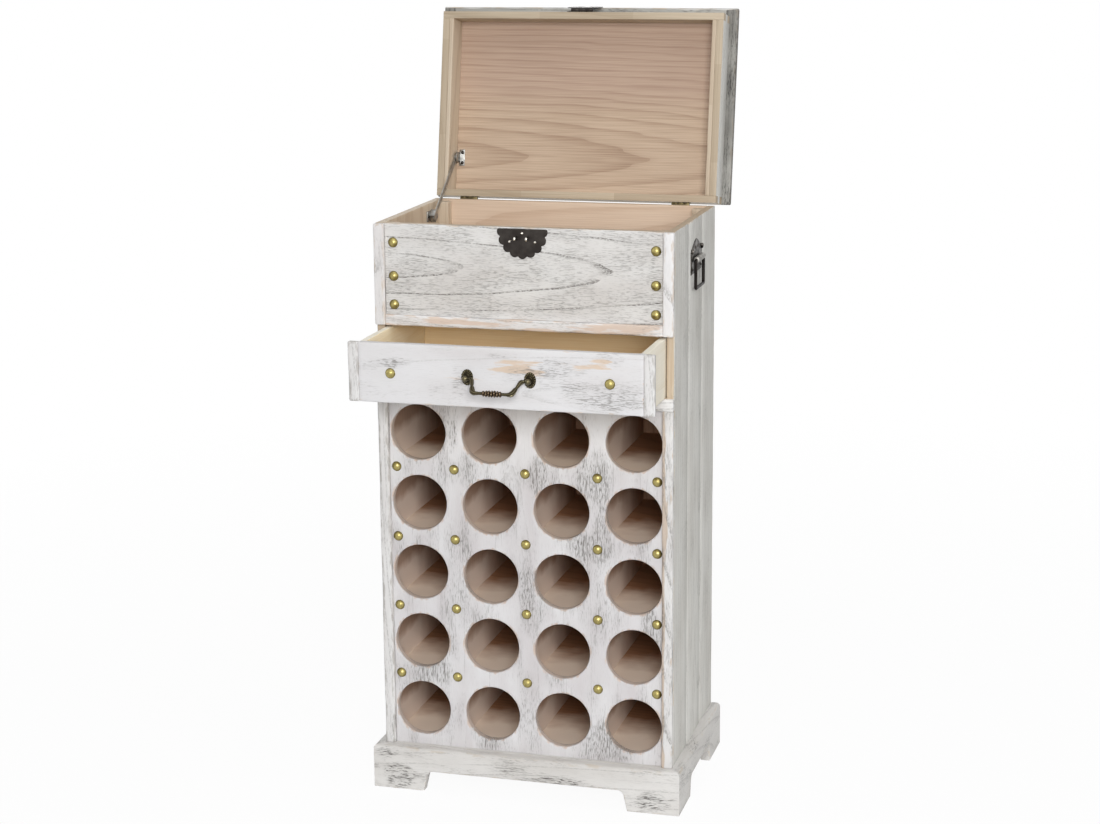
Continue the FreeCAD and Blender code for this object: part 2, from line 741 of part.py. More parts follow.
def make_hinges():
    """Two butt hinges, with their leaves on the backs of the chest and of the lid's back rail."""
    third = hinge_length / knuckle_count
    leaf_span = (0, hinge_leaf_thickness)
    case_tall = (rim_height - hinge_leaf_width, hinge_z - hinge_clearance / 2)
    lid_tall = (hinge_z + hinge_clearance / 2, lid_rim_z + hinge_leaf_width)
    clear_radius = hinge_barrel_radius + hinge_clearance
    case_leaves, lid_leaves, pins = [], [], []
    for x in (-hinge_spacing / 2, hinge_spacing / 2):
        low, high = around(x, hinge_length)
        outer = [(low, low + third), (high - third, high)]
        inner = [(low + third + hinge_clearance, high - third - hinge_clearance)]
        case_plate = block((low, high), leaf_span, case_tall)
        lid_plate = block((low, high), leaf_span, lid_tall)
        for plate, own, other, leaves in (
            (case_plate, outer, inner, case_leaves),
            (lid_plate, inner, outer, lid_leaves),
        ):
            for a, b in other:
                plate = plate.cut(on_hinge_line(clear_radius, a - hinge_clearance, b + hinge_clearance))
            knuckles = [on_hinge_line(hinge_barrel_radius, a, b) for a, b in own]
            bore = on_hinge_line(hinge_pin_radius + pin_clearance, low, high)
            leaves.append(joined([plate] + knuckles).cut(bore))
        pins.append(on_hinge_line(hinge_pin_radius, low, high))
    save("hinge_case_leaves", *case_leaves)
    save("hinge_lid_leaves", *[opened(leaf) for leaf in lid_leaves])
    save("hinge_pins", *pins)


def make_stay():
    """The lid stay: a strap from a bracket in the lid through a swivelling guide on the chest's left wall.

    Its lid pivot and its guide are equally far from the hinge. Seen from the side the strap is the base of
    an isosceles triangle, so it turns half as far as the lid and always crosses the guide.
    """
    radius = math.hypot(stay_lid_reach, stay_lid_rise)
    lid_pivot = V(0, hinge_y - stay_lid_reach, hinge_z + stay_lid_rise)
    guide_y = hinge_y - math.sqrt(radius ** 2 - stay_guide_drop ** 2)
    guide = V(0, guide_y, hinge_z - stay_guide_drop)
    turn = math.radians(lid_opening)
    spread = math.atan2(stay_lid_rise, stay_lid_reach) + math.asin(stay_guide_drop / radius) + turn
    chord = 2 * radius * math.sin(spread / 2)
    strap_mid_x = -inner_half + stay_strap_setoff
    strap_x = around(strap_mid_x, stay_strap_thickness)
    hinge = V(0, hinge_y, hinge_z)
    pivot = FreeCAD.Rotation(V(1, 0, 0), -lid_opening).multVec(lid_pivot - hinge) + hinge
    along = (guide - pivot).normalize()
    slope = math.degrees(math.atan2(-along.z, -along.y))

    def on_strap(shape):
        """A piece modelled along -Y from the origin, laid from the lid pivot towards the guide."""
        placed = shape.copy()
        placed.rotate(V(0, 0, 0), V(1, 0, 0), slope)
        placed.translate(V(0, pivot.y, pivot.z))
        return placed

    half = stay_strap_width / 2
    length = chord + stay_guide_length / 2 + stay_clearance + stay_strap_thickness
    round_end = rod(half, V(strap_x[0], 0, 0), V(strap_x[1], 0, 0))
    bar = block(strap_x, (-length, 0), centred(half))
    hole = rod(stay_pin_radius + pin_clearance, V(strap_x[0], 0, 0), V(strap_x[1], 0, 0))
    stop_x = (strap_x[0], strap_x[1] + stay_strap_thickness)
    stop_y = (-length, -length + stay_strap_thickness)
    stop = block(stop_x, stop_y, centred(half))
    save("stay_strap", on_strap(joined([bar, round_end, stop]).cut(hole)))

    plate_x = (-inner_half, -inner_half + stay_plate_thickness)
    plate = block(plate_x, around(guide.y, stay_plate_length), around(guide.z, stay_plate_height))
    channel_x = (strap_x[0] - stay_clearance, strap_x[1] + stay_clearance)
    pin_seat = channel_x[0] - stay_guide_wall
    pin_end = V(pin_seat - stay_clearance, guide.y, guide.z)
    pin = rod(stay_pin_radius, V(plate_x[1], guide.y, guide.z), pin_end)
    save("stay_wall_bracket", joined([plate, pin]))

    body_x = (plate_x[1] + stay_clearance, channel_x[1] + stay_guide_wall)
    body = block(body_x, around(-chord, stay_guide_length), centred(stay_guide_width / 2))
    channel = block(channel_x, around(-chord, stay_guide_length + overrun), centred(half + stay_clearance))
    seat = rod(stay_pin_radius + pin_clearance, V(body_x[0], -chord, 0), V(pin_seat, -chord, 0))
    save("stay_guide", on_strap(body.cut(channel).cut(seat)))

    ear_x = (strap_x[1] + stay_clearance, strap_x[1] + stay_clearance + stay_ear_thickness)
    flange_x = (ear_x[0], ear_x[0] + stay_flange_width)
    flange_y = around(lid_pivot.y, stay_flange_length)
    flange = block(flange_x, flange_y, (lid_under_z - stay_ear_thickness, lid_under_z))
    ear = block(ear_x, around(lid_pivot.y, 2 * stay_strap_width), (lid_pivot.z, lid_under_z))
    ear_start, ear_end = [V(x, lid_pivot.y, lid_pivot.z) for x in ear_x]
    eye = rod(stay_strap_width, ear_start, ear_end)
    rivet_end = V(strap_x[0] - stay_clearance, lid_pivot.y, lid_pivot.z)
    rivet = rod(stay_pin_radius, rivet_end, ear_start)
    head = rod(half, rivet_end - V(stay_rivet_head, 0, 0), rivet_end)
    save("stay_lid_bracket", opened(joined([flange, ear, eye, rivet, head])))


def handle_plate():
    """The right plate: straight sides and a foot, concave shoulders and a pointed arch on top."""
    half = handle_width / 2
    low_z = handle_top_z - handle_height
    shoulder_z = handle_top_z - handle_point_height
    arch = half * handle_point_share
    rise = handle_width * handle_curve_share
    waist_z = shoulder_z + rise / 2
    edges = []
    for side in (-1, 1):

        def at(y, z):
            return V(half_width, handle_y + side * y, z)

        hollow_middle = at((half + arch) / 2, waist_z - rise)
        arch_middle = at(arch / 2, handle_top_z - rise / 2)
        edges += [
            Part.makeLine(at(0, low_z), at(half, low_z)),
            Part.makeLine(at(half, low_z), at(half, shoulder_z)),
            Part.Arc(at(half, shoulder_z), hollow_middle, at(arch, waist_z)).toShape(),
            Part.Arc(at(arch, waist_z), arch_middle, at(0, handle_top_z)).toShape(),
        ]
    outline = Part.Wire(Part.__sortEdges__(edges))
    return Part.Face(outline).extrude(V(handle_plate_thickness, 0, 0))


def make_handles():
    """On each side of the chest, a plate with a rolled bar and a bail that turns in the roll's ends."""
    axis = V(handle_pivot_x, handle_y, handle_pivot_z)
    roll_half = V(0, handle_roll_length / 2, 0)
    roll = rod(handle_roll_radius, axis - roll_half, axis + roll_half)
    neck_y = around(handle_y, handle_roll_length)
    neck_z = (handle_pivot_z, handle_pivot_z + handle_roll_radius)
    neck = block((half_width, handle_pivot_x), neck_y, neck_z)
    bore = rod(handle_pin_radius + pin_clearance, axis - roll_half, axis + roll_half)
    holder = joined([handle_plate(), roll, neck]).cut(bore)
    save("handle_plates", holder, mirrored(holder))
    leg = V(0, handle_bail_width / 2, 0)
    drop = V(0, 0, handle_bail_drop)
    corners = [axis - leg, axis - leg - drop, axis + leg - drop, axis + leg]
    pieces = [wire_rod(corners, handle_bend_radius, handle_wire_radius)]
    for side in (-1, 1):
        outer = axis + leg * side
        inner = axis + (roll_half - V(0, handle_pin_depth, 0)) * side
        pieces += [rod(handle_pin_radius, inner, outer), Part.makeSphere(handle_wire_radius, outer)]
    bail = joined(pieces)
    save("handle_bail_right", bail)
    save("handle_bail_left", mirrored(bail))


def main():
    os.makedirs("parts", exist_ok=True)
    right = side_panel()
    sides = (right, mirrored(right))
    make_plinth(sides)
    make_case(sides)
    make_rack()
    make_studs()
    make_drawer()
    make_rosettes()
    make_pull_bail()
    make_lock()
    make_lid()
    make_hinges()
    make_hasp()
    make_stay()
    make_handles()


main()
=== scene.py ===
# %% [markdown]
# A limewashed wine cabinet, built around its CAD frame.
# The CAD model already says where every board and fitting is and how it moves. This lesson gives each piece
# the soft edges, the grain and the worn finish that solids lack, in the same frame, in metres.

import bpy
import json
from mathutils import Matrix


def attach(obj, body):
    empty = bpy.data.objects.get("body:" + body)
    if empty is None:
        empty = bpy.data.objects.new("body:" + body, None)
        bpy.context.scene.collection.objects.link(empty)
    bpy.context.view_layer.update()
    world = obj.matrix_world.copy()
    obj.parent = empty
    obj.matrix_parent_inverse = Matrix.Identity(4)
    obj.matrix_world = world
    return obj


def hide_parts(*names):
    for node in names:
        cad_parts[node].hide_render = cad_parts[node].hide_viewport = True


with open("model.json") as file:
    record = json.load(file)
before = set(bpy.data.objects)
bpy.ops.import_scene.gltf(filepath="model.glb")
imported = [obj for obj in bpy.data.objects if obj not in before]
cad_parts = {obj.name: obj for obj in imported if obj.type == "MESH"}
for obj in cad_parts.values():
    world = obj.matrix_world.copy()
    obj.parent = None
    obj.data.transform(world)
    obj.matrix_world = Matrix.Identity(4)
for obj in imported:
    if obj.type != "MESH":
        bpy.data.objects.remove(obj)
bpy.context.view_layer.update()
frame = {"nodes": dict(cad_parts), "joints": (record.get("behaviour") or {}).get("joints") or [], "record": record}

import json
import math

import bmesh
import bpy
import numpy as np
from mathutils import Matrix

MM = 0.001

# %% [markdown]
# The camera.
# A camera is a few choices: where it stands, where it looks, how it rolls and how long its lens is. These
# came from fitting known corners of the cabinet to the picture, so the render lines up with it. The
# camera's own axes are the columns of a matrix: right, up and back.

# %% Camera
camera_place = np.array([894.36, -3352.91, 1334.71]) * MM
camera_azimuth = math.radians(15.576)
camera_height = math.radians(12.960)
camera_roll = math.radians(-0.487)
focal_pixels = 2237.32
picture_width = 1100
sensor_mm = 36.0


def camera_axes(azimuth, height, roll):
    """Back points from the target to the camera, right lies level, up is their cross product; then both
    roll."""
    level = math.cos(height)
    back = np.array([math.sin(azimuth) * level, -math.cos(azimuth) * level, math.sin(height)])
    right = np.array([math.cos(azimuth), math.sin(azimuth), 0.0])
    up = np.cross(back, right)
    rolled_right = math.cos(roll) * right + math.sin(roll) * up
    rolled_up = math.cos(roll) * up - math.sin(roll) * right
    return np.column_stack([rolled_right, rolled_up, back])


lens = bpy.data.cameras.new("picture_camera")
lens.sensor_fit = "HORIZONTAL"
lens.sensor_width = sensor_mm
lens.lens = focal_pixels / picture_width * sensor_mm
camera = bpy.data.objects.new("picture_camera", lens)
camera_frame = np.eye(4)
camera_frame[:3, :3] = camera_axes(camera_azimuth, camera_height, camera_roll)
camera_frame[:3, 3] = camera_place
camera.matrix_world = Matrix(camera_frame.tolist())
bpy.context.scene.collection.objects.link(camera)
bpy.context.scene.camera = camera
print("lens", round(lens.lens, 2), "mm")

# %% [markdown]
# Reading the frame.
# A board's place and size come from its CAD solid, so no number is typed twice. A node may hold several
# solids, so triangles that share a corner are gathered first. The lid stands open in the frame: its boards
# are measured after turning it shut about its hinge line, and turned open again when they are done.

# %% Measure the CAD solids
hinge = next(joint for joint in frame["joints"] if joint["name"] == "lid_hinge")
lid_opening = math.radians(hinge["range_deg"][1])
node_bodies = {node: body for body, nodes in frame["record"]["behaviour"]["bodies"].items() for node in nodes}


def turned(points, angle, place=hinge["pos_m"]):
    """Points turned about a line along X: y and z from the line, mixed by the sine and cosine of the
    angle."""
    y, z = points[:, 1] - place[1], points[:, 2] - place[2]
    sine, cosine = math.sin(angle), math.cos(angle)
    return np.column_stack([points[:, 0], place[1] + y * cosine - z * sine, place[2] + y * sine + z * cosine])


def shut(points, node):
    """Points of a node as they lie with the lid closed."""
    return turned(points, lid_opening) if node_bodies[node] == "lid" else points


def reopened(points, node):
    """The way back from shut."""
    return turned(points, -lid_opening) if node_bodies[node] == "lid" else points


def solids(node):
    """The points of each separate solid of a node: every triangle hands its lowest label to its three
    corners, until nothing changes."""
    mesh = frame["nodes"][node].data
    points = np.empty(len(mesh.vertices) * 3)
    mesh.vertices.foreach_get("co", points)
    points = points.reshape(-1, 3)
    mesh.calc_loop_triangles()
    corners = np.empty(len(mesh.loop_triangles) * 3, np.int32)
    mesh.loop_triangles.foreach_get("vertices", corners)
    same = np.unique(np.round(points, 6), axis=0, return_inverse=True)[1].ravel()
    triangles = same[corners].reshape(-1, 3)
    label = np.arange(same.max() + 1)
    settled = False
    while not settled:
        lower = label.copy()
        np.minimum.at(lower, triangles.ravel(), np.repeat(label[triangles].min(axis=1), 3))
        settled = bool((lower == label).all())
        label = lower
    return [points[label[same] == one] for one in np.unique(label[same])]


def boxes(node):
    """Lowest and highest corner of each solid of a node, measured with the lid closed."""
    return [(part.min(axis=0), part.max(axis=0)) for part in (shut(one, node) for one in solids(node))]


print("studs on the rack:", len(boxes("rack_studs")))

# %% [markdown]
# From arrays to a piece.
# Every new piece here is a grid of points. Neighbouring points make four-sided faces, a grid that closes on
# itself wraps round, and points that fall together, as at a pole, are merged. Doing this in one place keeps
# the faces pointing outwards and gives each piece its body and the CAD node that it stands for.

# %% Grids and pieces
merge_distance = 0.002 * MM


def grid_faces(rows, columns, wrap_rows=False, wrap_columns=False):
    """Corner numbers of the faces between rows and columns of points numbered row by row."""
    row = np.arange(rows if wrap_rows else rows - 1)[:, None]
    column = np.arange(columns if wrap_columns else columns - 1)[None, :]
    next_row, next_column = (row + 1) % rows, (column + 1) % columns
    corners = [row * columns + column, row * columns + next_column, next_row * columns + next_column,
               next_row * columns + column]
    return np.stack(np.broadcast_arrays(*corners), axis=-1).reshape(-1, 4)


def gathered(parts):
    """Several surfaces as one: points put end to end, face numbers moved up to match, values put end to
    end."""
    starts = np.cumsum([0] + [len(part[0]) for part in parts[:-1]])
    points = np.concatenate([part[0] for part in parts])
    faces = [face for part, start in zip(parts, starts) for face in (np.asarray(part[1]) + start).tolist()]
    values = {key: np.concatenate([part[2][key] for part in parts]) for key in parts[0][2]}
    return points, faces, values


def piece(name, surface, node, finishes, sharp=40, zones=None):
    """A mesh object from points, faces and values per point, riding with its node's body and standing for
    it."""
    points, faces, values = surface
    mesh = bpy.data.meshes.new(name)
    mesh.from_pydata(points.tolist(), [], faces if isinstance(faces, list) else faces.tolist())
    for key, numbers in values.items():
        vector = numbers.ndim == 2
        layer = mesh.attributes.new(key, "FLOAT_VECTOR" if vector else "FLOAT", "POINT")
        layer.data.foreach_set("vector" if vector else "value", numbers.astype(np.float32).ravel())
    if zones is not None:
        mesh.polygons.foreach_set("material_index", np.asarray(zones, np.int32))
    shell = bmesh.new()
    shell.from_mesh(mesh)
    bmesh.ops.remove_doubles(shell, verts=shell.verts, dist=merge_distance)
    bmesh.ops.recalc_face_normals(shell, faces=shell.faces)
    shell.to_mesh(mesh)
    shell.free()
    return finished(name, mesh, node, finishes, sharp)


def finished(name, mesh, node, finishes, sharp):
    """Smooth shading with edges over an angle kept sharp, finishes, body and the node that it stands
    for."""
    mesh.polygons.foreach_set("use_smooth", np.ones(len(mesh.polygons), bool))
    mesh.set_sharp_from_angle(angle=math.radians(sharp))
    for finish in finishes:
        mesh.materials.append(finish)
    made = bpy.data.objects.new(name, mesh)
    bpy.context.scene.collection.objects.link(made)
    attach(made, node_bodies[node])
    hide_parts(node)
    return made


print("faces of a grid of 3 by 4 points:", len(grid_faces(3, 4)))

# %% [markdown]
# Nodes for materials.
# One small function adds a shader node, sets it and wires its inputs. Colours are written as the hex values
# that a screen shows and turned to the linear light that a renderer adds up.

# %% Material tools
def light(hex_colour):
    """The linear colour of an sRGB hex value: a straight part near black, then a power of 2.4."""
    screen = np.array([int(hex_colour[start:start + 2], 16) for start in (1, 3, 5)]) / 255
    linear = np.where(screen <= 0.04045, screen / 12.92, ((screen + 0.055) / 1.055) ** 2.4)
    return (*linear.tolist(), 1.0)


def add(tree, kind, inputs=(), ramp=(), **settings):
    """Adds a node: its settings, its ramp's stops, and a link or a plain value for each input named."""
    made = tree.nodes.new(kind)
    for key, value in settings.items():
        setattr(made, key, value)
    for place, value in dict(inputs).items():
        if isinstance(value, bpy.types.NodeSocket):
            tree.links.new(value, made.inputs[place])
        else:
            made.inputs[place].default_value = value
    for number, (position, colour) in enumerate(ramp):
        stops = made.color_ramp.elements
        stop = stops[number] if number < len(stops) else stops.new(position)
        stop.position = position
        stop.color = colour
    return made


def blank(name):
    """A new material with nothing in it but its output."""
    material = bpy.data.materials.new(name)
    material.use_nodes = True
    material.node_tree.nodes.clear()
    return material, material.node_tree


def flecks(tree, grain, length, width, low, high, detail=2.0):
    """A mask of streaks: noise stretched to a length along the grain and a width across it in mm, cut at
    two levels."""
    stretch = (1 / (length * MM), 1 / (width * MM), 1 / (width * MM))
    place = add(tree, "ShaderNodeVectorMath", {0: grain, 1: stretch}, operation="MULTIPLY").outputs[0]
    noise = add(tree, "ShaderNodeTexNoise", {"Vector": place, "Scale": 1.0, "Detail": detail}).outputs[0]
    return add(tree, "ShaderNodeMapRange", {0: noise, 1: low, 2: high}).outputs[0]


def combine(tree, operation, first, second):
    """One sum on two masks."""
    return add(tree, "ShaderNodeMath", {0: first, 1: second}, operation=operation).outputs[0]


def growth_rings(tree, grain, spacing, wander, crowd=1.0):
    """Growth rings cut by the board's face: distance from a pith that dives slowly under the face, counted
    in rings of a spacing in mm, so the face shows long ovals. Crowd over 1 narrows the later rings. Each
    runs from 0 to 1."""
    ring_stretch, dive, drift_scale = 0.15, math.radians(42), 22.0
    slant = {"Vector": grain, "Rotation": (0, dive, 0), "Scale": (ring_stretch, 1, 1)}
    place = add(tree, "ShaderNodeMapping", slant).outputs[0]
    flat = add(tree, "ShaderNodeVectorMath", {0: place, 1: (0, 1, 1)}, operation="MULTIPLY").outputs[0]
    far = add(tree, "ShaderNodeVectorMath", {0: flat}, operation="LENGTH").outputs["Value"]
    waves = {"Vector": place, "Scale": drift_scale, "Detail": 3.0, "Roughness": 0.6}
    drift = add(tree, "ShaderNodeTexNoise", waves).outputs[0]
    sway = combine(tree, "MULTIPLY", combine(tree, "SUBTRACT", drift, 0.5), wander)
    count = combine(tree, "ADD", combine(tree, "DIVIDE", far, spacing * MM), sway)
    return combine(tree, "FRACT", combine(tree, "POWER", combine(tree, "MAXIMUM", count, 0.0), crowd), 0.0)


def blended(tree, share, under, over):
    """A colour laid over another where a mask says."""
    return add(tree, "ShaderNodeMix", {0: share, 6: under, 7: over}, data_type="RGBA").outputs[2]


def surfaced(tree, colour, roughness, height, depth, **constants):
    """The shader itself, with a bump of a depth in mm from a height mask."""
    bump = add(tree, "ShaderNodeBump", {"Height": height, "Distance": depth * MM, "Strength": 0.8}).outputs[0]
    sockets = {"Base Color": colour, "Roughness": roughness, "Normal": bump}
    shader = add(tree, "ShaderNodeBsdfPrincipled", sockets)
    for socket, value in constants.items():
        shader.inputs[socket.replace("_", " ")].default_value = value
    add(tree, "ShaderNodeOutputMaterial", {"Surface": shader.outputs[0]})


def grain_vector(tree, direction):
    """Along, across and through the board: the piece's own attribute, as it is or with along and across
    changed over, or object coordinates turned to a direction."""
    own = add(tree, "ShaderNodeAttribute", attribute_name="grain").outputs["Vector"]
    if direction is None:
        return own
    place = own if direction == "across" else add(tree, "ShaderNodeTexCoord").outputs["Object"]
    quarter = math.pi / 2
    turns = {"X": (0, 0, 0), "Z": (0, quarter, 0), "across": (0, 0, -quarter)}
    return add(tree, "ShaderNodeMapping", {"Vector": place, "Rotation": turns[direction]}).outputs[0]


print("middle grey of a screen in linear light:", round(light("#808080")[0], 3))

# %% [markdown]
# Limewashed fir.
# The cabinet's softwood was brushed with a white wash and rubbed back. To the eye that is a chalky white
# with grey left in the open grain, dark broken lines along the growth rings, and warm bare wood where edges
# and high spots were rubbed through. The pattern follows each board, so it reads the board's own grain
# coordinates. Pores on real fir are about 0.2 mm wide; they are drawn about 1 mm wide so that they show.

# %% Limewashed fir
spot_pull = 0.34
line_width, line_core = 2.2, 0.7
dash_from, dash_full = 0.585, 0.65
dense_span, rub_span, worn_span = 0.28, 0.08, 0.38
bald_cover = 0.75


def raised(tree, grain, noise, spots, low, high):
    """Noise lifted inside soft ovals and then cut at two levels. A spot is along, across, half length and
    half width in mm, and lifts most at its middle."""
    for along, across, half_length, half_width in spots:
        shrink = (1 / (half_length * MM), 1 / (half_width * MM), 0)
        back = (-along / half_length, -across / half_width, 0)
        place = add(tree, "ShaderNodeVectorMath", {0: grain, 1: shrink, 2: back}, operation="MULTIPLY_ADD")
        far = add(tree, "ShaderNodeVectorMath", {0: place.outputs[0]}, operation="LENGTH").outputs["Value"]
        lift = add(tree, "ShaderNodeMapRange", {0: far, 1: 1.2, 2: 0.2, 4: spot_pull}).outputs[0]
        noise = combine(tree, "ADD", noise, lift)
    return add(tree, "ShaderNodeMapRange", {0: noise, 1: low, 2: high}).outputs[0]


def limewashed_fir(name, colours, spacing, pore_cover, dense_from, line_cover=0.5, rub_from=0.7,
                   rubs=(), stains=(), direction=None, worn_from=0.62, smudge=0.1):
    """White wash over fir: thick and thin wash, pores and ring lines in grey, bare wood at edges and rubbed
    spots."""
    wash, thin, pore, bare = [light(colour) for colour in colours]
    material, tree = blank(name)
    grain = grain_vector(tree, direction)
    edge = add(tree, "ShaderNodeAttribute", attribute_name="edge").outputs["Fac"]
    clouds = flecks(tree, grain, 150, 50, 0.36, 0.66, 4.0)
    patches = flecks(tree, grain, 90, 30, 0, 1, 4.0)
    dense = raised(tree, grain, patches, stains, dense_from, dense_from + dense_span)
    short_dashes = flecks(tree, grain, 9, 1.1, 0, 1)
    long_dashes = flecks(tree, grain, 26, 1.5, 0.04, 1.04)
    dashes = combine(tree, "MAXIMUM", short_dashes, long_dashes)
    dashes = combine(tree, "ADD", dashes, combine(tree, "MULTIPLY", dense, 0.04))
    dashes = add(tree, "ShaderNodeMapRange", {0: dashes, 1: dash_from, 2: dash_full}).outputs[0]
    cover = combine(tree, "ADD", combine(tree, "MULTIPLY", dense, pore_cover), 0.08)
    rings = growth_rings(tree, grain, spacing, 0.5)
    late = {0: rings, 1: 1 - line_width / spacing, 2: 1 - line_core / spacing}
    line = add(tree, "ShaderNodeMapRange", late).outputs[0]
    stretches = flecks(tree, grain, 90, 14, 0.32, 0.5)
    kept = combine(tree, "MULTIPLY", stretches, flecks(tree, grain, 4, 2, 0.3, 0.6))
    scratch = combine(tree, "MULTIPLY", combine(tree, "MULTIPLY", line, kept), line_cover)
    dark = combine(tree, "MAXIMUM", scratch, combine(tree, "MULTIPLY", dashes, cover))
    bare_spots = flecks(tree, grain, 60, 10, 0, 1, 4.0)
    rubbed = raised(tree, grain, bare_spots, rubs, rub_from, rub_from + rub_span)
    chips = flecks(tree, grain, 22, 7, 0.3, 0.7, 3.0)
    worn = combine(tree, "MULTIPLY", edge, combine(tree, "ADD", chips, 0.2))
    worn = add(tree, "ShaderNodeMapRange", {0: worn, 1: worn_from, 2: worn_from + worn_span}).outputs[0]
    bald = combine(tree, "MAXIMUM", rubbed, worn)
    painted = blended(tree, clouds, wash, thin)
    painted = blended(tree, combine(tree, "MULTIPLY", bald, bald_cover), painted, bare)
    painted = blended(tree, combine(tree, "MULTIPLY", dense, smudge), painted, pore)
    height = combine(tree, "SUBTRACT", combine(tree, "MULTIPLY", bald, -0.4), dark)
    surfaced(tree, blended(tree, dark, painted, pore), 0.78, height, 0.5, IOR=1.5)
    return material


def moved(spots, heart):
    """Spots measured from a board's middle, in the board's grain coordinates."""
    return [(along + heart[0], across + heart[1], length, width) for along, across, length, width in spots]


bright = ("#ECEBEB", "#E2DFDE", "#8C8884", "#D0C2B4")
front_wash = limewashed_fir("limewashed_fir_front", bright, spacing=11, pore_cover=0.5, dense_from=0.46)
strip_wash = limewashed_fir(
    "limewashed_fir_strip", ("#E6E5E4", "#DAD7D5", "#77736F", "#B7B3AE"),
    spacing=8, pore_cover=0.5, dense_from=0.42, line_cover=0.4, rub_from=0.8, worn_from=0.56)
stile_rubs = [(-250, 24, 280, 7), (40, 24, 240, 7), (230, 24, 140, 7)]
stile_wash = limewashed_fir(
    "limewashed_fir_stile", ("#E4E3E2", "#D6D3D1", "#77736F", "#C8B29C"),
    spacing=8, pore_cover=0.6, dense_from=0.36, line_cover=0.6, rub_from=0.68, rubs=stile_rubs, worn_from=0.9)
rail_wash = limewashed_fir(
    "limewashed_fir_rail", (*bright[:3], "#DBC3B0"),
    spacing=14, pore_cover=0.5, dense_from=0.42, line_cover=0.5, rub_from=0.47, worn_from=0.85)
chest_heart = (306, -13, -6)
chest_wash = limewashed_fir(
    "limewashed_fir_chest", ("#E8E7E5", "#DDDAD7", "#75716D", "#D6C2AC"),
    spacing=21.8, pore_cover=0.42, dense_from=0.3, line_cover=1.0, rub_from=0.8)
drawer_heart = (150, 20, 60)
drawer_rubs = [(45, 15, 80, 18), (151, 31, 34, 12)]
drawer_stains = [(0, 32, 40, 9), (80, 27, 34, 10), (-155, 17, 34, 9), (140, -28, 60, 12), (-58, -6, 16, 22),
                 (60, 12, 60, 10), (178, -18, 44, 24), (-158, 14, 15, 7), (105, -10, 46, 14)]
drawer_wash = limewashed_fir(
    "limewashed_fir_drawer", ("#E2E1E2", "#DAD7D7", "#8A8682", "#DBC1A6"),
    spacing=30, pore_cover=0.7, dense_from=0.54, line_cover=0.25, rub_from=0.7,
    rubs=moved(drawer_rubs, drawer_heart), stains=moved(drawer_stains, drawer_heart), worn_from=0.95)
rack_heart = (300, 20, -230)
rack_stains = [(506, 112, 40, 32), (440, 116, 60, 14), (506, 20, 28, 30), (506, -90, 26, 28),
               (400, 100, 22, 40), (290, 190, 40, 16), (95, 130, 34, 40), (100, -60, 40, 26),
               (330, 0, 70, 12), (185, -150, 24, 40), (556, -110, 28, 8)]
rack_wash = limewashed_fir(
    "limewashed_fir_rack", ("#E1E0E1", "#D2CECF", "#807C78", "#CDB7A6"),
    spacing=40, pore_cover=0.8, dense_from=0.46, line_cover=0.3, rub_from=0.76,
    stains=moved(rack_stains, rack_heart), smudge=0.16)
side_wash = limewashed_fir(
    "limewashed_fir_side", ("#DEDDD8", "#D3D1CB", "#918E87", "#D2C0A8"),
    spacing=14, pore_cover=0.4, dense_from=0.42, line_cover=0.5, rub_from=0.8)
foot_stains = [(-198, 20, 26, 22), (-200, 24, 22, 22), (-222, 56, 22, 12), (40, 30, 70, 16),
               (200, 20, 40, 20)]
foot_wash = limewashed_fir(
    "limewashed_fir_foot", ("#DEDCD9", "#D2CFCB", "#5B5753", "#CBC1B4"),
    spacing=13, pore_cover=0.85, dense_from=0.5, line_cover=0.3, rub_from=0.74,
    stains=foot_stains, worn_from=0.72)
lid_wash = limewashed_fir(
    "limewashed_fir_lid", ("#D3D2CE", "#C4C2BD", "#7F7C77", "#C9B79F"),
    spacing=14, pore_cover=0.5, dense_from=0.44, line_cover=0.6, rub_from=0.76)
eaves_wash = limewashed_fir(
    "limewashed_fir_eaves", ("#B4B2AC", "#6C6A65", "#2F2D2A", "#91887B"),
    spacing=9, pore_cover=0.95, dense_from=0.36, line_cover=0.7, rub_from=0.8, direction="across", smudge=0.3)
brow_wash = limewashed_fir(
    "limewashed_fir_brow", ("#B0AEA8", "#989690", "#55524E", "#A09788"),
    spacing=9, pore_cover=0.9, dense_from=0.4, line_cover=0.5, rub_from=0.8)
print("washes made:", len(bpy.data.materials))

# %% [markdown]
# Bare softwood.
# Inside, the boards were left as the planer left them: warm, a little pink, with soft darker late wood in
# each ring and fine streaks. One recipe serves the lid's panel, the drawer box and the rack, with its own
# two colours each. The rims were glued from short lengths, and the lid's panel has heartwood on one side.
# In the bottle lanes the wood starts pale near the holes and turns a dark brown further in. The pale is partly
# wash that drifted in through the holes and partly painted light; the dark brown deep in is painted shade.

# %% Bare softwood
openings = frame["record"]["physics"]["openings"]
lanes = [opening["box_m"] for opening in openings if "bottle_lane" in opening["name"]]
lane_middles = np.round(np.mean(lanes, axis=1), 6)
hole_xs, hole_zs = np.unique(lane_middles[:, 0]), np.unique(lane_middles[:, 2])
lane_pitch = hole_zs[1] - hole_zs[0]
lane_floor = boxes("bottom_board")[0][1][2] - 3 * MM
# The pale colour in the lanes is partly drifted wash and partly painted light through the holes.
wash_and_light_wobble, wash_and_light_low, wash_and_light_high, wash_and_light_thin = 70 * MM, 36 * MM, 50 * MM, 0.3
heart_cover, stock_cover, streak_share, cloud_share = 0.4, 0.6, 0.4, 0.25


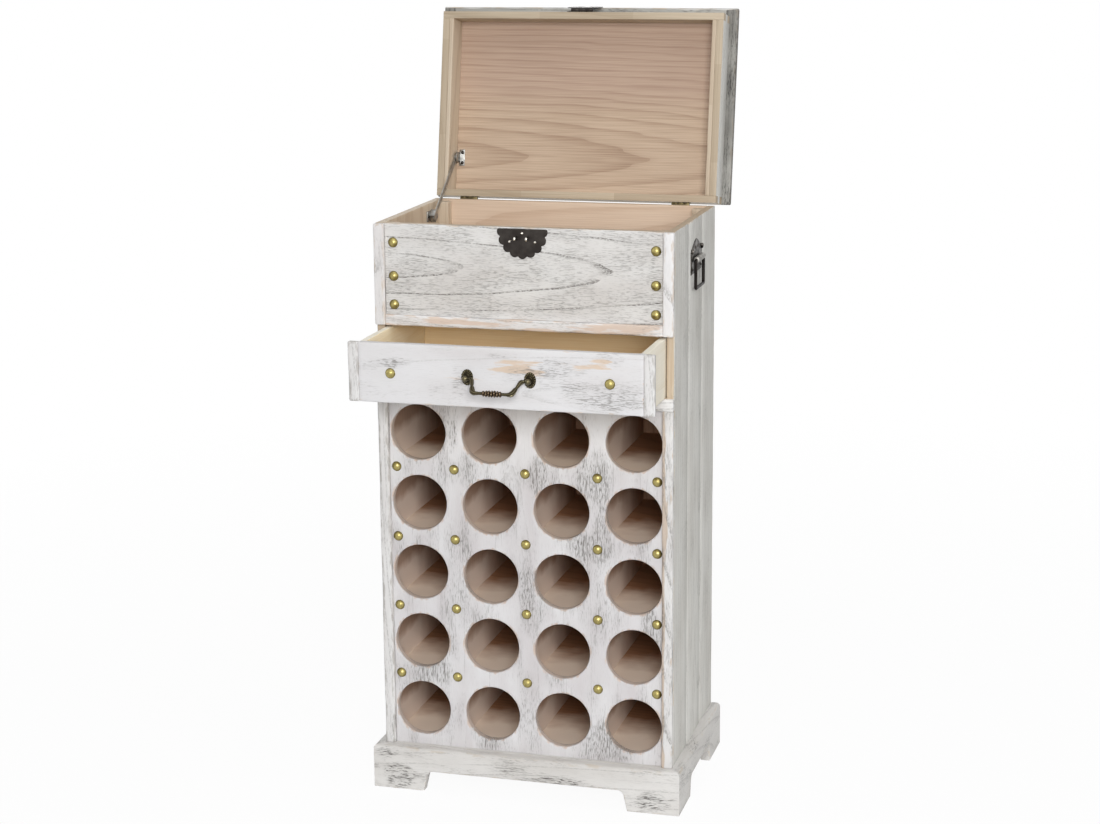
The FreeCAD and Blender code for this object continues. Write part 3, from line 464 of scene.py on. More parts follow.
def bare_wood(name, early, late, spacing, contrast, direction=None, crowd=1.0, wash_and_light=None, heartwood=None,
              stock=0):
    """Planed wood: each growth ring darkens from early to late wood, with fine streaks and slow clouds over
    it. Heartwood is a colour laid on one side of a line across the board, stock the length in mm of the
    short lengths that the board was glued from, each its own tone. The pale lane colour is whole near the
    lane's mouth, along Y, gone further in, and on a wall thin above a height over the lane's floor; it is
    partly drifted wash and partly painted light through the holes."""
    material, tree = blank(name)
    grain = grain_vector(tree, direction)
    rings = growth_rings(tree, grain, spacing, 0.6, crowd)
    band = add(tree, "ShaderNodeValToRGB", {0: rings}, [
        (0.0, (0.3, 0.3, 0.3, 1)), (0.1, (0, 0, 0, 1)), (0.6, (0.1, 0.1, 0.1, 1)), (0.95, (1, 1, 1, 1)),
    ]).outputs[0]
    streaks = flecks(tree, grain, 110, 1.6, 0.4, 0.72)
    clouds = flecks(tree, grain, 260, 70, 0.3, 0.7, 3.0)
    late_share = combine(tree, "MULTIPLY", band, contrast)
    late_share = combine(tree, "ADD", late_share, combine(tree, "MULTIPLY", streaks, streak_share))
    late_share = combine(tree, "ADD", late_share, combine(tree, "MULTIPLY", clouds, cloud_share))
    colour = blended(tree, late_share, light(early), light(late))
    if heartwood:
        across = add(tree, "ShaderNodeSeparateXYZ", {0: grain}).outputs["Y"]
        side = {0: across, 1: heartwood[1], 2: heartwood[2], 3: heart_cover, 4: 0}
        share = add(tree, "ShaderNodeMapRange", side).outputs[0]
        colour = blended(tree, share, colour, light(heartwood[0]))
    if stock:
        along = add(tree, "ShaderNodeSeparateXYZ", {0: grain}).outputs["X"]
        number = combine(tree, "FLOOR", combine(tree, "DIVIDE", along, stock * MM), 0.0)
        tone = add(tree, "ShaderNodeTexWhiteNoise", {"W": number}, noise_dimensions="1D").outputs["Value"]
        colour = blended(tree, combine(tree, "MULTIPLY", tone, stock_cover), colour, light(late))
    # Pale near the lane's mouth: partly drifted wash, partly painted light through the holes.
    if wash_and_light:
        place = add(tree, "ShaderNodeTexCoord").outputs["Object"]
        apart = add(tree, "ShaderNodeSeparateXYZ", {0: place}).outputs
        drift = combine(tree, "SUBTRACT", flecks(tree, place, 40, 40, 0, 1), 0.5)
        reach = combine(tree, "ADD", apart["Y"], combine(tree, "MULTIPLY", drift, wash_and_light_wobble))
        cover = add(tree, "ShaderNodeMapRange", {0: reach, 1: wash_and_light[1], 2: wash_and_light[2], 3: 1, 4: 0}).outputs[0]
        storey = combine(tree, "DIVIDE", combine(tree, "SUBTRACT", apart["Z"], lane_floor), lane_pitch)
        level = combine(tree, "MULTIPLY", combine(tree, "FRACT", storey, 0.0), lane_pitch)
        level = combine(tree, "ADD", level, combine(tree, "MULTIPLY", drift, wash_and_light_wobble / 3))
        below = {0: level, 1: wash_and_light_low, 2: wash_and_light_high, 3: 1, 4: wash_and_light_thin}
        low = add(tree, "ShaderNodeMapRange", below).outputs[0]
        colour = blended(tree, combine(tree, "MULTIPLY", cover, low), colour, light(wash_and_light[0]))
    surfaced(tree, colour, 0.62, streaks, 0.15, IOR=1.5)
    return material


panel_wood = bare_wood("planed_fir_lid_panel", "#D1BAA2", "#957861", 28, 0.34, crowd=1.4,
                       heartwood=("#A98A7D", -0.112, -0.066))
chest_wood = bare_wood("planed_fir_chest", "#DFC9B3", "#C2A68D", 22, 0.4)
rim_wood = bare_wood("planed_fir_rim", "#D6C8B3", "#B09A81", 26, 0.3, stock=170)
lid_rim_wood = bare_wood("planed_fir_lid_rim", "#CBBCA5", "#A08D75", 26, 0.3, stock=150)
drawer_wood = bare_wood("planed_poplar_drawer", "#F3DDB6", "#E5C795", 20, 0.3)
# Lighter copies of the drawer's poplar for its sides: painted light, since the sides lie in shade.
drawer_side_wood_lit = bare_wood("planed_poplar_drawer_side", "#FBF5E6", "#EFE6D0", 20, 0.3)
drawer_inner_wood_lit = bare_wood("planed_poplar_drawer_inner", "#FBEFD4", "#EFDCB4", 20, 0.3)
lane_mouth = boxes("rack_front_panel")[0][0][1]
drifted_wash_and_light = ("#FDECDA", lane_mouth + 80 * MM, lane_mouth + 165 * MM)
blown_in_wash_and_light = ("#F9E8DA", lane_mouth + 120 * MM, lane_mouth + 250 * MM)
# The lanes' woods: dark brown as painted shade deep in the lanes, pale near the holes as partly painted light.
rack_wood_x_lit_and_shaded = bare_wood("sawn_fir_shelf", "#AC7D5B", "#8C5D3F", 10, 0.4, "X", wash_and_light=drifted_wash_and_light)
rack_wood_z_lit_and_shaded = bare_wood("sawn_fir_divider", "#B68F72", "#976E54", 10, 0.4, "Z", wash_and_light=blown_in_wash_and_light)
hidden_wood = bare_wood("sawn_fir_hidden", "#D2BC9F", "#B0967A", 30, 0.25)
print("materials with the bare woods:", len(bpy.data.materials))

# %% [markdown]
# Metals.
# The studs are pressed brass gone dull, darker at their rims as painted shade, the lock, hasp and handles
# are blackened iron, the drawer pull is cast bronze, dark in its hollows and rubbed bright on its crests, and
# the lid stay is zinc-plated steel. Each is a metal shader whose colour and roughness change with tarnish.

# %% Metal finishes
def tarnished_metal(name, clean, dull, spot, low, high, smooth, rough, relief=False):
    """A metal with tarnish clouds of a size in mm; where relief is set, crests stay bright and the rest goes
    dull: patina in the bronze's hollows, and painted shade at the rims of the studs."""
    material, tree = blank(name)
    place = add(tree, "ShaderNodeTexCoord").outputs["Object"]
    tarnish = flecks(tree, place, spot, spot, low, high, 4.0)
    if relief:
        crest = add(tree, "ShaderNodeAttribute", attribute_name="crest").outputs["Fac"]
        hollow = combine(tree, "SUBTRACT", 1.0, crest)
        tarnish = combine(tree, "MAXIMUM", hollow, combine(tree, "MULTIPLY", tarnish, 0.5))
    grit = flecks(tree, place, 1.2, 1.2, 0.3, 0.7)
    colour = blended(tree, tarnish, light(clean), light(dull))
    roughness = add(tree, "ShaderNodeMapRange", {0: tarnish, 3: smooth, 4: rough}).outputs[0]
    surfaced(tree, colour, roughness, grit, 0.05, Metallic=1.0)
    return material


aged_brass = tarnished_metal("pressed_brass_aged", "#AEA168", "#6B6138", 5, 0.4, 0.7, 0.36, 0.5, True)
dull_brass = tarnished_metal("plated_brass_dull", "#6B6044", "#3F3828", 6, 0.35, 0.65, 0.4, 0.55)
dark_iron = tarnished_metal("blackened_iron", "#423E3B", "#322E2C", 16, 0.35, 0.65, 0.4, 0.52)
worn_iron = tarnished_metal("blackened_iron_worn", "#625D58", "#2C2926", 10, 0.38, 0.6, 0.35, 0.5)
bare_iron = tarnished_metal("rolled_iron_bare", "#94918C", "#72706B", 12, 0.35, 0.65, 0.5, 0.62)
black_iron = tarnished_metal("blackened_iron_wire", "#2F2B29", "#1F1C1A", 12, 0.35, 0.65, 0.4, 0.55)
antique_bronze = tarnished_metal("cast_bronze_antique", "#726A52", "#15110C", 4, 0.4, 0.7, 0.22, 0.5, True)
handled_bronze = tarnished_metal("cast_bronze_handled", "#82705A", "#1B110C", 4, 0.4, 0.7, 0.22, 0.45, True)
zinc_steel = tarnished_metal("zinc_plated_steel", "#ABAAA6", "#82817E", 6, 0.4, 0.7, 0.38, 0.55)
nail_steel = tarnished_metal("polished_steel_nails", "#E2DED6", "#AFA89C", 2, 0.45, 0.7, 0.2, 0.35)
print("materials:", len(bpy.data.materials))

# %% [markdown]
# A worn board.
# Seen close, no board edge is sharp: the plane breaks it and years of hands round it further. A board is a
# rounded rectangle carried along its grain. Its corner radius swells here and there where the edge was
# knocked, and its ends close with the same rounding. Each point keeps its place along, across and through
# the wood, so the grain follows the board wherever it goes, and a mark that says how near it is to an edge.

# %% The worn board
corner_points = 4
knock_spacing = 22 * MM
edge_fade = 5 * MM
draw = np.random.default_rng(1862)
directions = {"X": (1, 0, 0), "Y": (0, 1, 0), "Z": (0, 0, 1),
              "-X": (-1, 0, 0), "-Y": (0, -1, 0), "-Z": (0, 0, -1)}


def face_stops(width, step, extra):
    """Places across a face, from its high side to its low side: near both edges, evenly between, and the
    extra ones."""
    near = width / 2 - min(edge_fade, width / 3)
    count = max(2, int(2 * near / step) + 1)
    places = np.concatenate([np.linspace(-near, near, count), np.asarray(extra, float)])
    return np.unique(np.round(places, 7))[::-1]


def worn_board(size, radius, wear, step, front_relief=None, back_relief=None):
    """A rounded rectangle carried along the grain. At a station the half sizes shrink by the end rounding,
    radius x (1 - sin), and each corner is an arc whose own radius is the board's, swollen by random
    knocks."""
    length, width, thick = size
    turn = np.linspace(0, math.pi / 2, corner_points)
    end_at, end_in = radius * (1 - np.cos(turn)), radius * (1 - np.sin(turn))
    first = radius + min(edge_fade, length / 4)
    count = max(2, int((length - 2 * first) / step) + 1)
    between = np.linspace(first, length - first, count)
    along = np.concatenate([end_at, between, length - end_at[::-1]]) - length / 2
    inset = np.concatenate([end_in, np.zeros(count), end_in[::-1]])
    knots = np.linspace(-length / 2, length / 2, max(4, int(length / knock_spacing)))
    knocks = 1 + wear * draw.random((4, len(knots))) ** 4
    limit = 0.45 * min(width, thick)
    corner = np.minimum(radius * np.stack([np.interp(along, knots, one) for one in knocks], axis=1), limit)
    corner = np.maximum(corner - inset[:, None], 0.02 * radius)
    half_b, half_c = (width / 2 - inset)[:, None], (thick / 2 - inset)[:, None]
    sign_b, sign_c = np.array([1, -1, -1, 1]), np.array([1, 1, -1, -1])
    angle = turn[None, :] + np.arange(4)[:, None] * math.pi / 2
    arc_b = (sign_b * (half_b - corner))[:, :, None] + corner[:, :, None] * np.cos(angle)
    arc_c = (sign_c * (half_c - corner))[:, :, None] + corner[:, :, None] * np.sin(angle)
    relief_places = [place for relief in (front_relief, back_relief) if relief for place in relief[0]]
    places = face_stops(width - 2 * radius, step, relief_places)
    share = (width / 2 - radius - places) / (width - 2 * radius)
    top_b = arc_b[:, 0, -1:] + share * (arc_b[:, 1, :1] - arc_b[:, 0, -1:])
    low_b = arc_b[:, 2, -1:] + share * (arc_b[:, 3, :1] - arc_b[:, 2, -1:])
    front_cut = np.interp(places, *front_relief) if front_relief else 0 * places
    back_cut = np.interp(-places, *back_relief) if back_relief else 0 * places
    top_c, low_c = half_c - front_cut, -half_c + back_cut
    b = np.concatenate([half_b, arc_b[:, 0], top_b, arc_b[:, 1], -half_b,
                        -half_b, arc_b[:, 2], low_b, arc_b[:, 3], half_b], axis=1)
    c = np.concatenate([half_c / 3, arc_c[:, 0], top_c, arc_c[:, 1], half_c / 3,
                        -half_c / 3, arc_c[:, 2], low_c, arc_c[:, 3], -half_c / 3], axis=1)
    arc_edge, face_edge = np.ones(corner_points), np.zeros(len(places))
    side_edge = [0.6 if thick < 3 * edge_fade else 0.0]
    ring_edge = np.concatenate([side_edge, arc_edge, face_edge, arc_edge, side_edge,
                                side_edge, arc_edge, face_edge, arc_edge, side_edge])
    at_end = np.concatenate([np.ones(corner_points), np.zeros(count), np.ones(corner_points)])
    edge = np.maximum(at_end[:, None], ring_edge[None, :])
    rows, columns = b.shape
    points = np.stack([np.broadcast_to(along[:, None], b.shape), b, c], axis=-1).reshape(-1, 3)
    skin = grid_faces(rows, columns, wrap_columns=True)
    pair = np.arange(columns // 2 - 1)
    cap = np.stack([pair, pair + 1, columns - 2 - pair, columns - 1 - pair], axis=1)
    faces = np.concatenate([skin, cap, cap + (rows - 1) * columns])
    face_column = np.concatenate([np.tile(np.arange(columns), rows - 1), np.full(2 * len(cap), columns)])
    last_front = 2 * corner_points + len(places) - 1
    zone = np.where((face_column >= 1) & (face_column <= last_front), 0, 1)
    return points, faces, {"edge": edge.ravel(), "zone": zone}


def wood(node, grain, outward, finishes, radius, wear=2.0, step=30, slot="whitewashed_wood", heart=None,
         **more):
    """Every solid of a node as a worn board: grain is the way the fibres run and outward the way its show
    face looks. Heart places the growth rings: along, across and depth of the pith from the board's middle,
    in mm."""
    parts, zones = [], []
    along, out = directions[grain], directions[outward]
    axes = np.array([along, np.cross(out, along), out], float)
    for low, high in boxes(node):
        size = np.abs(axes @ (high - low))
        points, faces, values = worn_board(size, radius * MM, wear, step * MM, **more)
        away = np.array([draw.uniform(-400, 400), draw.uniform(-40, 40), draw.uniform(25, 70)])
        values["grain"] = points + (away if heart is None else np.array(heart)) * MM
        zones.append(values.pop("zone"))
        placed = (low + high) / 2 + points @ axes
        parts.append((reopened(placed, node), faces, values))
    return piece(node + "_board", gathered(parts), node, finishes, zones=np.concatenate(zones))


def face_centres(mesh):
    """The middle of each face."""
    centres = np.empty(len(mesh.polygons) * 3)
    mesh.polygons.foreach_get("center", centres)
    return centres.reshape(-1, 3)


def repaint(mesh, chosen, finish):
    """Another of the mesh's finishes, by number, on the chosen faces."""
    zone = np.empty(len(mesh.polygons), np.int32)
    mesh.polygons.foreach_get("material_index", zone)
    mesh.polygons.foreach_set("material_index", np.where(chosen(zone), finish, zone).astype(np.int32))


print("points on a board's corner:", corner_points)

# %% [markdown]
# The case.
# Stiles and rails stand proud of the panels as face strips; their white shows the most wear because hands
# meet them first. The chest and side panels are white outside and bare inside, so their show face gets one
# finish and the rest another. The sides are planks, so a V is pressed into the show face where two planks
# meet. Below the chest their inner faces are the walls of the outer lanes, so there they get the lanes' wood,
# with its painted light near the holes and painted shade deeper in.

# %% Case boards
strip_radius, panel_radius = 1.6, 0.8
strip_wear, strip_step, plank_wear = 3.0, 18, 3.0
strips = (
    ("chest_stile_left", "Z", front_wash, None),
    ("chest_stile_right", "Z", front_wash, None),
    ("rack_stile_left", "Z", strip_wash, (200, 40, 60)),
    ("rack_stile_right", "Z", stile_wash, (0, 16, 60)),
    ("chest_bottom_rail", "X", rail_wash, None),
    ("rack_top_rail", "X", strip_wash, None),
)
for node, grain, wash, heart in strips:
    wood(node, grain, "-Y", [wash, wash], strip_radius, strip_wear, strip_step, heart=heart)
wood("chest_front_panel", "X", "-Y", [chest_wash, rim_wood], panel_radius, heart=chest_heart)
side_depth = np.diff([corner[1] for corner in boxes("side_panel_right")[0]])[0]
seams = [side_depth * share for share in (-1 / 6, 1 / 6)]
seam_half, seam_deep = 3 * MM, 1.5 * MM
seam_places = [seam + shift for seam in seams for shift in (-seam_half, 0, seam_half)]
seam_relief = (seam_places, [0, seam_deep, 0] * len(seams))
rack_roof, face_slack = boxes("drawer_floor")[0][0][2], 0.5 * MM
for node, outward in (("side_panel_left", "-X"), ("side_panel_right", "X")):
    plank_mesh = wood(node, "Z", outward, [side_wash, rim_wood, rack_wood_z_lit_and_shaded], panel_radius, plank_wear,
                      front_relief=seam_relief).data
    within = np.abs(boxes(node)[0]).min(axis=0)[0] + face_slack
    centres = face_centres(plank_mesh)
    inner = (np.abs(centres[:, 0]) < within) & (centres[:, 2] < rack_roof)
    # Below the chest the inner faces get the lanes' wood, with its painted light and shade.
    repaint(plank_mesh, lambda zone: inner, 2)
wood("chest_back_panel", "X", "-Y", [chest_wood, hidden_wood], panel_radius)
wood("chest_floor", "X", "Z", [chest_wood, hidden_wood], panel_radius)
bare_boards = (
    ("chest_corner_posts", "Z", "-Y", [rim_wood, rim_wood]),
    ("drawer_floor", "X", "Z", [hidden_wood, hidden_wood]),
    # The bottom board and the rack's back get the lanes' wood, with its painted light and shade.
    ("bottom_board", "X", "Z", [rack_wood_x_lit_and_shaded, hidden_wood]),
    ("rack_back_panel", "Z", "-Y", [rack_wood_z_lit_and_shaded, hidden_wood]),
    ("plinth_packing_strip", "X", "-Y", [foot_wash, foot_wash]),
    ("plinth_corner_blocks", "Z", "-Y", [hidden_wood, hidden_wood]),
)
for node, grain, outward, finishes in bare_boards:
    wood(node, grain, outward, finishes, panel_radius, slot="bare_wood")


def refinish(node, finish):
    """Another material on a CAD node that keeps its own mesh."""
    materials = frame["nodes"][node].data.materials
    materials.clear()
    materials.append(finish)


# Shelves and dividers get the lanes' wood, with its painted light and shade.
for number in (1, 2, 3, 4):
    refinish("rack_shelf_%d" % number, rack_wood_x_lit_and_shaded)
for number in (1, 2, 3):
    refinish("rack_divider_%d" % number, rack_wood_z_lit_and_shaded)
print("face strips and bare boards:", len(strips), len(bare_boards))

# %% [markdown]
# The drilled rack front.
# Twenty round holes in one board are awkward for a plain grid, so the board is split into twenty cells. In
# each, rays run from the hole's middle to evenly spaced points on the cell's border, and rows of points lie
# along the rays: across the face, over the rounded rim, through the hole's wall and back out behind.
# Neighbouring cells share their border points, so merging them leaves one board.

# %% Rack front
hole_radius = 42.5 * MM
rim_round = 1.6 * MM
side_points = 16


def drilled_panel(low, high, hole_xs, hole_zs):
    """Cells of rays from each hole: distance and depth per row, direction per column."""
    x_lines = np.concatenate([[low[0]], (hole_xs[1:] + hole_xs[:-1]) / 2, [high[0]]])
    z_lines = np.concatenate([[low[2]], (hole_zs[1:] + hole_zs[:-1]) / 2, [high[2]]])
    thick = high[1] - low[1]
    step = np.arange(side_points) / side_points
    parts = []
    for column, middle_x in enumerate(hole_xs):
        for row, middle_z in enumerate(hole_zs):
            left, right = x_lines[column], x_lines[column + 1]
            bottom, top = z_lines[row], z_lines[row + 1]
            border_x = np.concatenate([0 * step + right, right + (left - right) * step,
                                       0 * step + left, left + (right - left) * step])
            border_z = np.concatenate([bottom + (top - bottom) * step, 0 * step + top,
                                       top + (bottom - top) * step, 0 * step + bottom])
            ray = np.stack([border_x - middle_x, border_z - middle_z], axis=-1)
            reach = np.linalg.norm(ray, axis=1)
            ray = ray / reach[:, None]
            turn = np.linspace(0, math.pi / 2, corner_points)
            rim = hole_radius + rim_round * (1 - np.sin(turn))
            rim_depth = rim_round * (1 - np.cos(turn))
            outside = hole_radius + rim_round
            calm = outside + np.minimum(edge_fade, (reach - outside) / 2)
            flat = [reach, calm + (reach - calm) * 0.6, calm + (reach - calm) * 0.3, calm]
            wall = [hole_radius + 0 * reach] * 2
            distance = np.stack(flat + [one + 0 * reach for one in rim] + wall + [reach])
            depth = np.concatenate([[0] * len(flat), rim_depth, [thick * 0.6, thick], [thick]])
            edge = np.concatenate([[0] * len(flat), np.ones(corner_points), [5, 5], [5]])
            x = middle_x + distance * ray[:, 0]
            z = middle_z + distance * ray[:, 1]
            y = low[1] + np.broadcast_to(depth[:, None], x.shape)
            points = np.stack([x, y, z], axis=-1).reshape(-1, 3)
            rows, columns = x.shape
            faces = grid_faces(rows, columns, wrap_columns=True)
            outer = [column == len(hole_xs) - 1, row == len(hole_zs) - 1, column == 0, row == 0]
            around = np.arange(columns)[np.repeat(outer, side_points)]
            after = (around + 1) % columns
            behind = (rows - 1) * columns
            rim_faces = np.stack([around, after, after + behind, around + behind], axis=1)
            values = {"edge": np.broadcast_to(edge[:, None], x.shape).ravel(),
                      "grain": np.stack([z, x, -y], axis=-1).reshape(-1, 3) + np.array(rack_heart) * MM}
            parts.append((points, np.concatenate([faces, rim_faces]), values))
    return gathered(parts)


rack_low, rack_high = boxes("rack_front_panel")[0]
rack_surface = drilled_panel(rack_low, rack_high, hole_xs, hole_zs)
rack = piece("rack_front_panel_board", rack_surface, "rack_front_panel", [rack_wash])
print("rack front faces:", len(rack.data.polygons))

# %% [markdown]
# The plinth.
# Each plinth board is cut with bracket feet: flat under the foot, then a short rise, an arc and a long
# straight apron. At each station along that lower line a section is drawn: under edge, rounded arris, face,
# worn chamfer, top and back. Front and side boards meet in a mitre, so near the ends each section slides
# along with its depth.

# %% Plinth boards
plinth_height, plinth_thick, chamfer = 68 * MM, 15 * MM, 4 * MM
foot_length, foot_flare, arch_height, arch_radius = 80 * MM, 5 * MM, 32 * MM, 10 * MM
arris = 1.4 * MM


def apron_line(start, end):
    """The lower line of a bracket-foot board: foot, rise, arc and apron, then the same in reverse."""
    spring = arch_height - arch_radius
    turn = np.linspace(math.pi, math.pi / 2, 7)
    centre = start + foot_length + foot_flare + arch_radius
    foot = np.linspace(start, start + foot_length, 8)
    rise = np.linspace(0, 1, 4)[1:-1]
    flare = start + foot_length + foot_flare * rise
    left_u = np.concatenate([foot, flare, centre + arch_radius * np.cos(turn)])
    left_z = np.concatenate([0 * foot, spring * rise, spring + arch_radius * np.sin(turn)])
    middle = (start + end) / 2
    apron = np.linspace(centre, middle, max(3, int((middle - centre) / (25 * MM))))[1:]
    half_u, half_z = np.concatenate([left_u, apron]), np.concatenate([left_z, 0 * apron + arch_height])
    return np.concatenate([half_u, start + end - half_u[-2::-1]]), np.concatenate([half_z, half_z[-2::-1]])


def bracket_board(start, end, mitre_start, mitre_end, away):
    """Sections carried along the apron line; along, depth and height of every point, its edge mark and end
    faces."""
    u, z = apron_line(start, end)
    slope = np.stack([np.gradient(u), np.gradient(z)])
    inward = np.stack([-slope[1], slope[0]]) / np.linalg.norm(slope, axis=0)
    turn = np.linspace(0, math.pi / 2, corner_points)
    top = plinth_height
    knock = 1 + 0.35 * np.interp(u, np.linspace(start, end, 19), draw.random(19)) ** 2
    rows = [(plinth_thick, z, u, 0.0), (plinth_thick / 2, z, u, 0.0)]
    for angle in turn:
        off = arris * (1 - math.cos(angle))
        rows.append((arris * (1 - math.sin(angle)), z + inward[1] * off, u + inward[0] * off, 1.0))
    reach = arris + edge_fade * np.clip(inward[1], 0, 1)
    low_z, low_u = z + inward[1] * reach, u + inward[0] * reach
    high_z = top - chamfer * knock - edge_fade
    for share in (0.0, 0.33, 0.66, 1.0):
        rows.append((0.0, low_z + (high_z - low_z) * share, low_u + (u - low_u) * share, 0.0))
    cut = chamfer * knock
    level = top + 0 * u
    rows += [(0.0, top - cut, u, 0.9), (cut * 0.2, top - cut * 0.55, u, 1.0),
             (cut * 0.55, top - cut * 0.2, u, 1.0), (cut, level, u, 0.9),
             (cut + edge_fade, level, u, 0.25), (plinth_thick, level, u, 0.0)]
    depth = np.stack([row[0] + 0 * u for row in rows])
    height = np.stack([row[1] + 0 * u for row in rows])
    place = np.stack([row[2] for row in rows])
    edge = np.stack([row[3] + 0 * u for row in rows])
    near_start = np.clip(1 - (place - start) / foot_length, 0, 1) * mitre_start
    near_end = np.clip(1 - (end - place) / foot_length, 0, 1) * mitre_end
    place = place + depth * near_start - depth * near_end
    edge[:, 0] = np.maximum(edge[:, 0], 0.8)
    edge[:, -1] = np.maximum(edge[:, -1], 0.8)
    points = np.stack([place, depth, height], axis=-1).reshape(-1, 3)
    count, columns = place.shape
    faces = grid_faces(count, columns, wrap_rows=True).tolist()
    ring = np.arange(count) * columns
    faces += [ring.tolist(), (ring + columns - 1).tolist()]
    grain = np.stack([place + away, height, 0.04 - depth], axis=-1).reshape(-1, 3)
    return points, faces, {"edge": edge.ravel(), "grain": grain}


front_low, front_high = boxes("plinth_front")[0]
side_low, side_high = boxes("plinth_right")[0]


def plinth_piece(node, surface, outline):
    """A bracket board laid along X or Y: outline gives the new order and signs of along, depth and
    height."""
    points, faces, values = surface
    return piece(node + "_board", (outline(points), faces, values), node, [foot_wash])


plinth_piece("plinth_front", bracket_board(front_low[0], front_high[0], 1, 1, 0.0),
             lambda p: np.column_stack([p[:, 0], front_low[1] + p[:, 1], p[:, 2]]))
for node, sign in (("plinth_right", 1), ("plinth_left", -1)):
    plinth_piece(node, bracket_board(side_low[1], side_high[1], 1, 0, 1.0 + 0.5 * sign),
                 lambda p: np.column_stack([sign * (side_high[0] - p[:, 1]), p[:, 0], p[:, 2]]))
print("points on the front's lower line:", len(apron_line(front_low[0], front_high[0])[0]))

# %% [markdown]
# Jointed boards.
# The lid's walls interlock with fingers at the corners, and the plinth's back board is notched round the
# sides. Their shapes are already in the CAD solids, so those meshes are copied, their doubles merged, their
# flat triangles joined again, and every sharp edge is rounded off, which leaves the fine dark line that a
# glued joint shows.

# %% Softened copies
soft_sharp, keen_from = 40, 25


def softened(node, grain, finish_of, finishes, radius):
    """A CAD mesh with its sharp edges rounded to a radius in mm; finish_of picks a finish from a face's
    normal."""
    shell = bmesh.new()
    shell.from_mesh(frame["nodes"][node].data)
    bmesh.ops.remove_doubles(shell, verts=shell.verts, dist=merge_distance)
    bmesh.ops.dissolve_limit(shell, angle_limit=math.radians(1), verts=shell.verts, edges=shell.edges)
    limit = math.radians(keen_from)
    keen = [edge for edge in shell.edges if len(edge.link_faces) == 2 and edge.calc_face_angle() > limit]
    rounded = bmesh.ops.bevel(shell, geom=keen, offset=radius * MM, segments=2, profile=0.5, affect="EDGES",
                              clamp_overlap=True)["faces"]
    mark = shell.loops.layers.float.new("edge")
    for face in rounded:
        for loop in face.loops:
            loop[mark] = 1.0
    shell.normal_update()
    mesh = bpy.data.meshes.new(node + "_softened")
    shell.to_mesh(mesh)
    shell.free()
    points = np.empty(len(mesh.vertices) * 3)
    mesh.vertices.foreach_get("co", points)
    closed = shut(points.reshape(-1, 3), node)
    order = {"X": [0, 2, 1], "Y": [1, 2, 0], "Z": [2, 0, 1]}[grain]
    away = np.array([draw.uniform(-0.4, 0.4), draw.uniform(-0.04, 0.04), draw.uniform(0.03, 0.06)])
    layer = mesh.attributes.new("grain", "FLOAT_VECTOR", "POINT")
    fibres = closed[:, order] - closed.mean(axis=0)[order] + away
    layer.data.foreach_set("vector", fibres.astype(np.float32).ravel())
    normals = np.empty(len(mesh.polygons) * 3)
    mesh.polygons.foreach_get("normal", normals)
    outward = shut(normals.reshape(-1, 3) + np.array(hinge["pos_m"]), node) - np.array(hinge["pos_m"])
    mesh.polygons.foreach_set("material_index", np.asarray(finish_of(outward), np.int32))
    return finished(node + "_softened", mesh, node, finishes, soft_sharp)


rim_share = 0.5
lid_walls = (("lid_side_left", "Y", 0, -1), ("lid_side_right", "Y", 0, 1),
             ("lid_front_rail", "X", 1, -1), ("lid_back_rail", "X", 1, 1))
for node, grain, axis, sign in lid_walls:
    softened(node, grain, lambda n: np.where(n[:, axis] * sign > rim_share, 0, 1),
             [side_wash, lid_rim_wood], 0.6)


def one_finish(normals):
    """The first finish on every face."""
    return 0 * normals[:, 0]


softened("plinth_back", "X", one_finish, [hidden_wood], 0.8)
print("walls of the lid:", len(lid_walls))

# %% [markdown]
# The lid's boards.
# One wide board closes the lid. It is weathered on top and on the strip that overhangs, and bare where the
# frame keeps the weather out, so faces under the frame's inside get the panel wood. The overhang is dark
# and mottled beside the frame and paler before its front rail, so those faces get finishes of their own.
# Two thin liners stand inside the frame.

# %% Lid panel and liners
lid_radius, lid_wear, lid_step, lid_heart = 1.2, 3.0, 12, (372, -84, 6)
frame_lap, front_edge_depth = 5 * MM, 3 * MM
lid_finishes = [lid_wash, panel_wood, eaves_wash, brow_wash]
top_board = wood("lid_top_board", "X", "Z", lid_finishes, lid_radius, lid_wear, lid_step, heart=lid_heart)
centres = shut(face_centres(top_board.data), "lid_top_board")
rail_low, rail_high = boxes("lid_front_rail")[0]
rim_face = centres[:, 1] < boxes("lid_top_board")[0][0][1] + front_edge_depth
beside = (np.abs(centres[:, 0]) > rail_high[0] - frame_lap) & ~rim_face
before = (centres[:, 1] < rail_low[1] + frame_lap) & ~beside & ~rim_face
for chosen, finish in ((rim_face, 0), (beside, 2), (before, 3)):
    repaint(top_board.data, lambda zone: (zone == 1) & chosen, finish)
wood("lid_liners", "Y", "-Z", [rim_wood, rim_wood], panel_radius, slot="bare_wood")
print("faces beside and before the lid's frame:", int(beside.sum()), int(before.sum()))

# %% [markdown]
# The drawer.
# Its front is white all over with rubbed patches, with a strip at each end. The box behind is bare, and a
# thin bottom sits in a groove run round the inside, so each box board has that groove cut in its inner
# face. The sides get lighter copies of the box's wood, a little warmer inside than outside: painted light,
# since the sides lie in shade.

# %% Drawer boards
bottom_low, bottom_high = boxes("drawer_bottom")[0]
groove_clear, groove_deep, groove_edge = 0.1 * MM, 5.1 * MM, 0.05 * MM


def bottom_groove(node):
    """The groove for the drawer bottom, as places across a board and how deep it is cut there."""
    low, high = boxes(node)[0]
    middle = (low[2] + high[2]) / 2
    start, end = bottom_low[2] - groove_clear - middle, bottom_high[2] + groove_clear - middle
    return [start, start + groove_edge, end - groove_edge, end], [0, groove_deep, groove_deep, 0]


def flipped(relief):
    """The same cut for a board whose across axis runs the other way."""
    return [-place for place in relief[0]][::-1], relief[1][::-1]


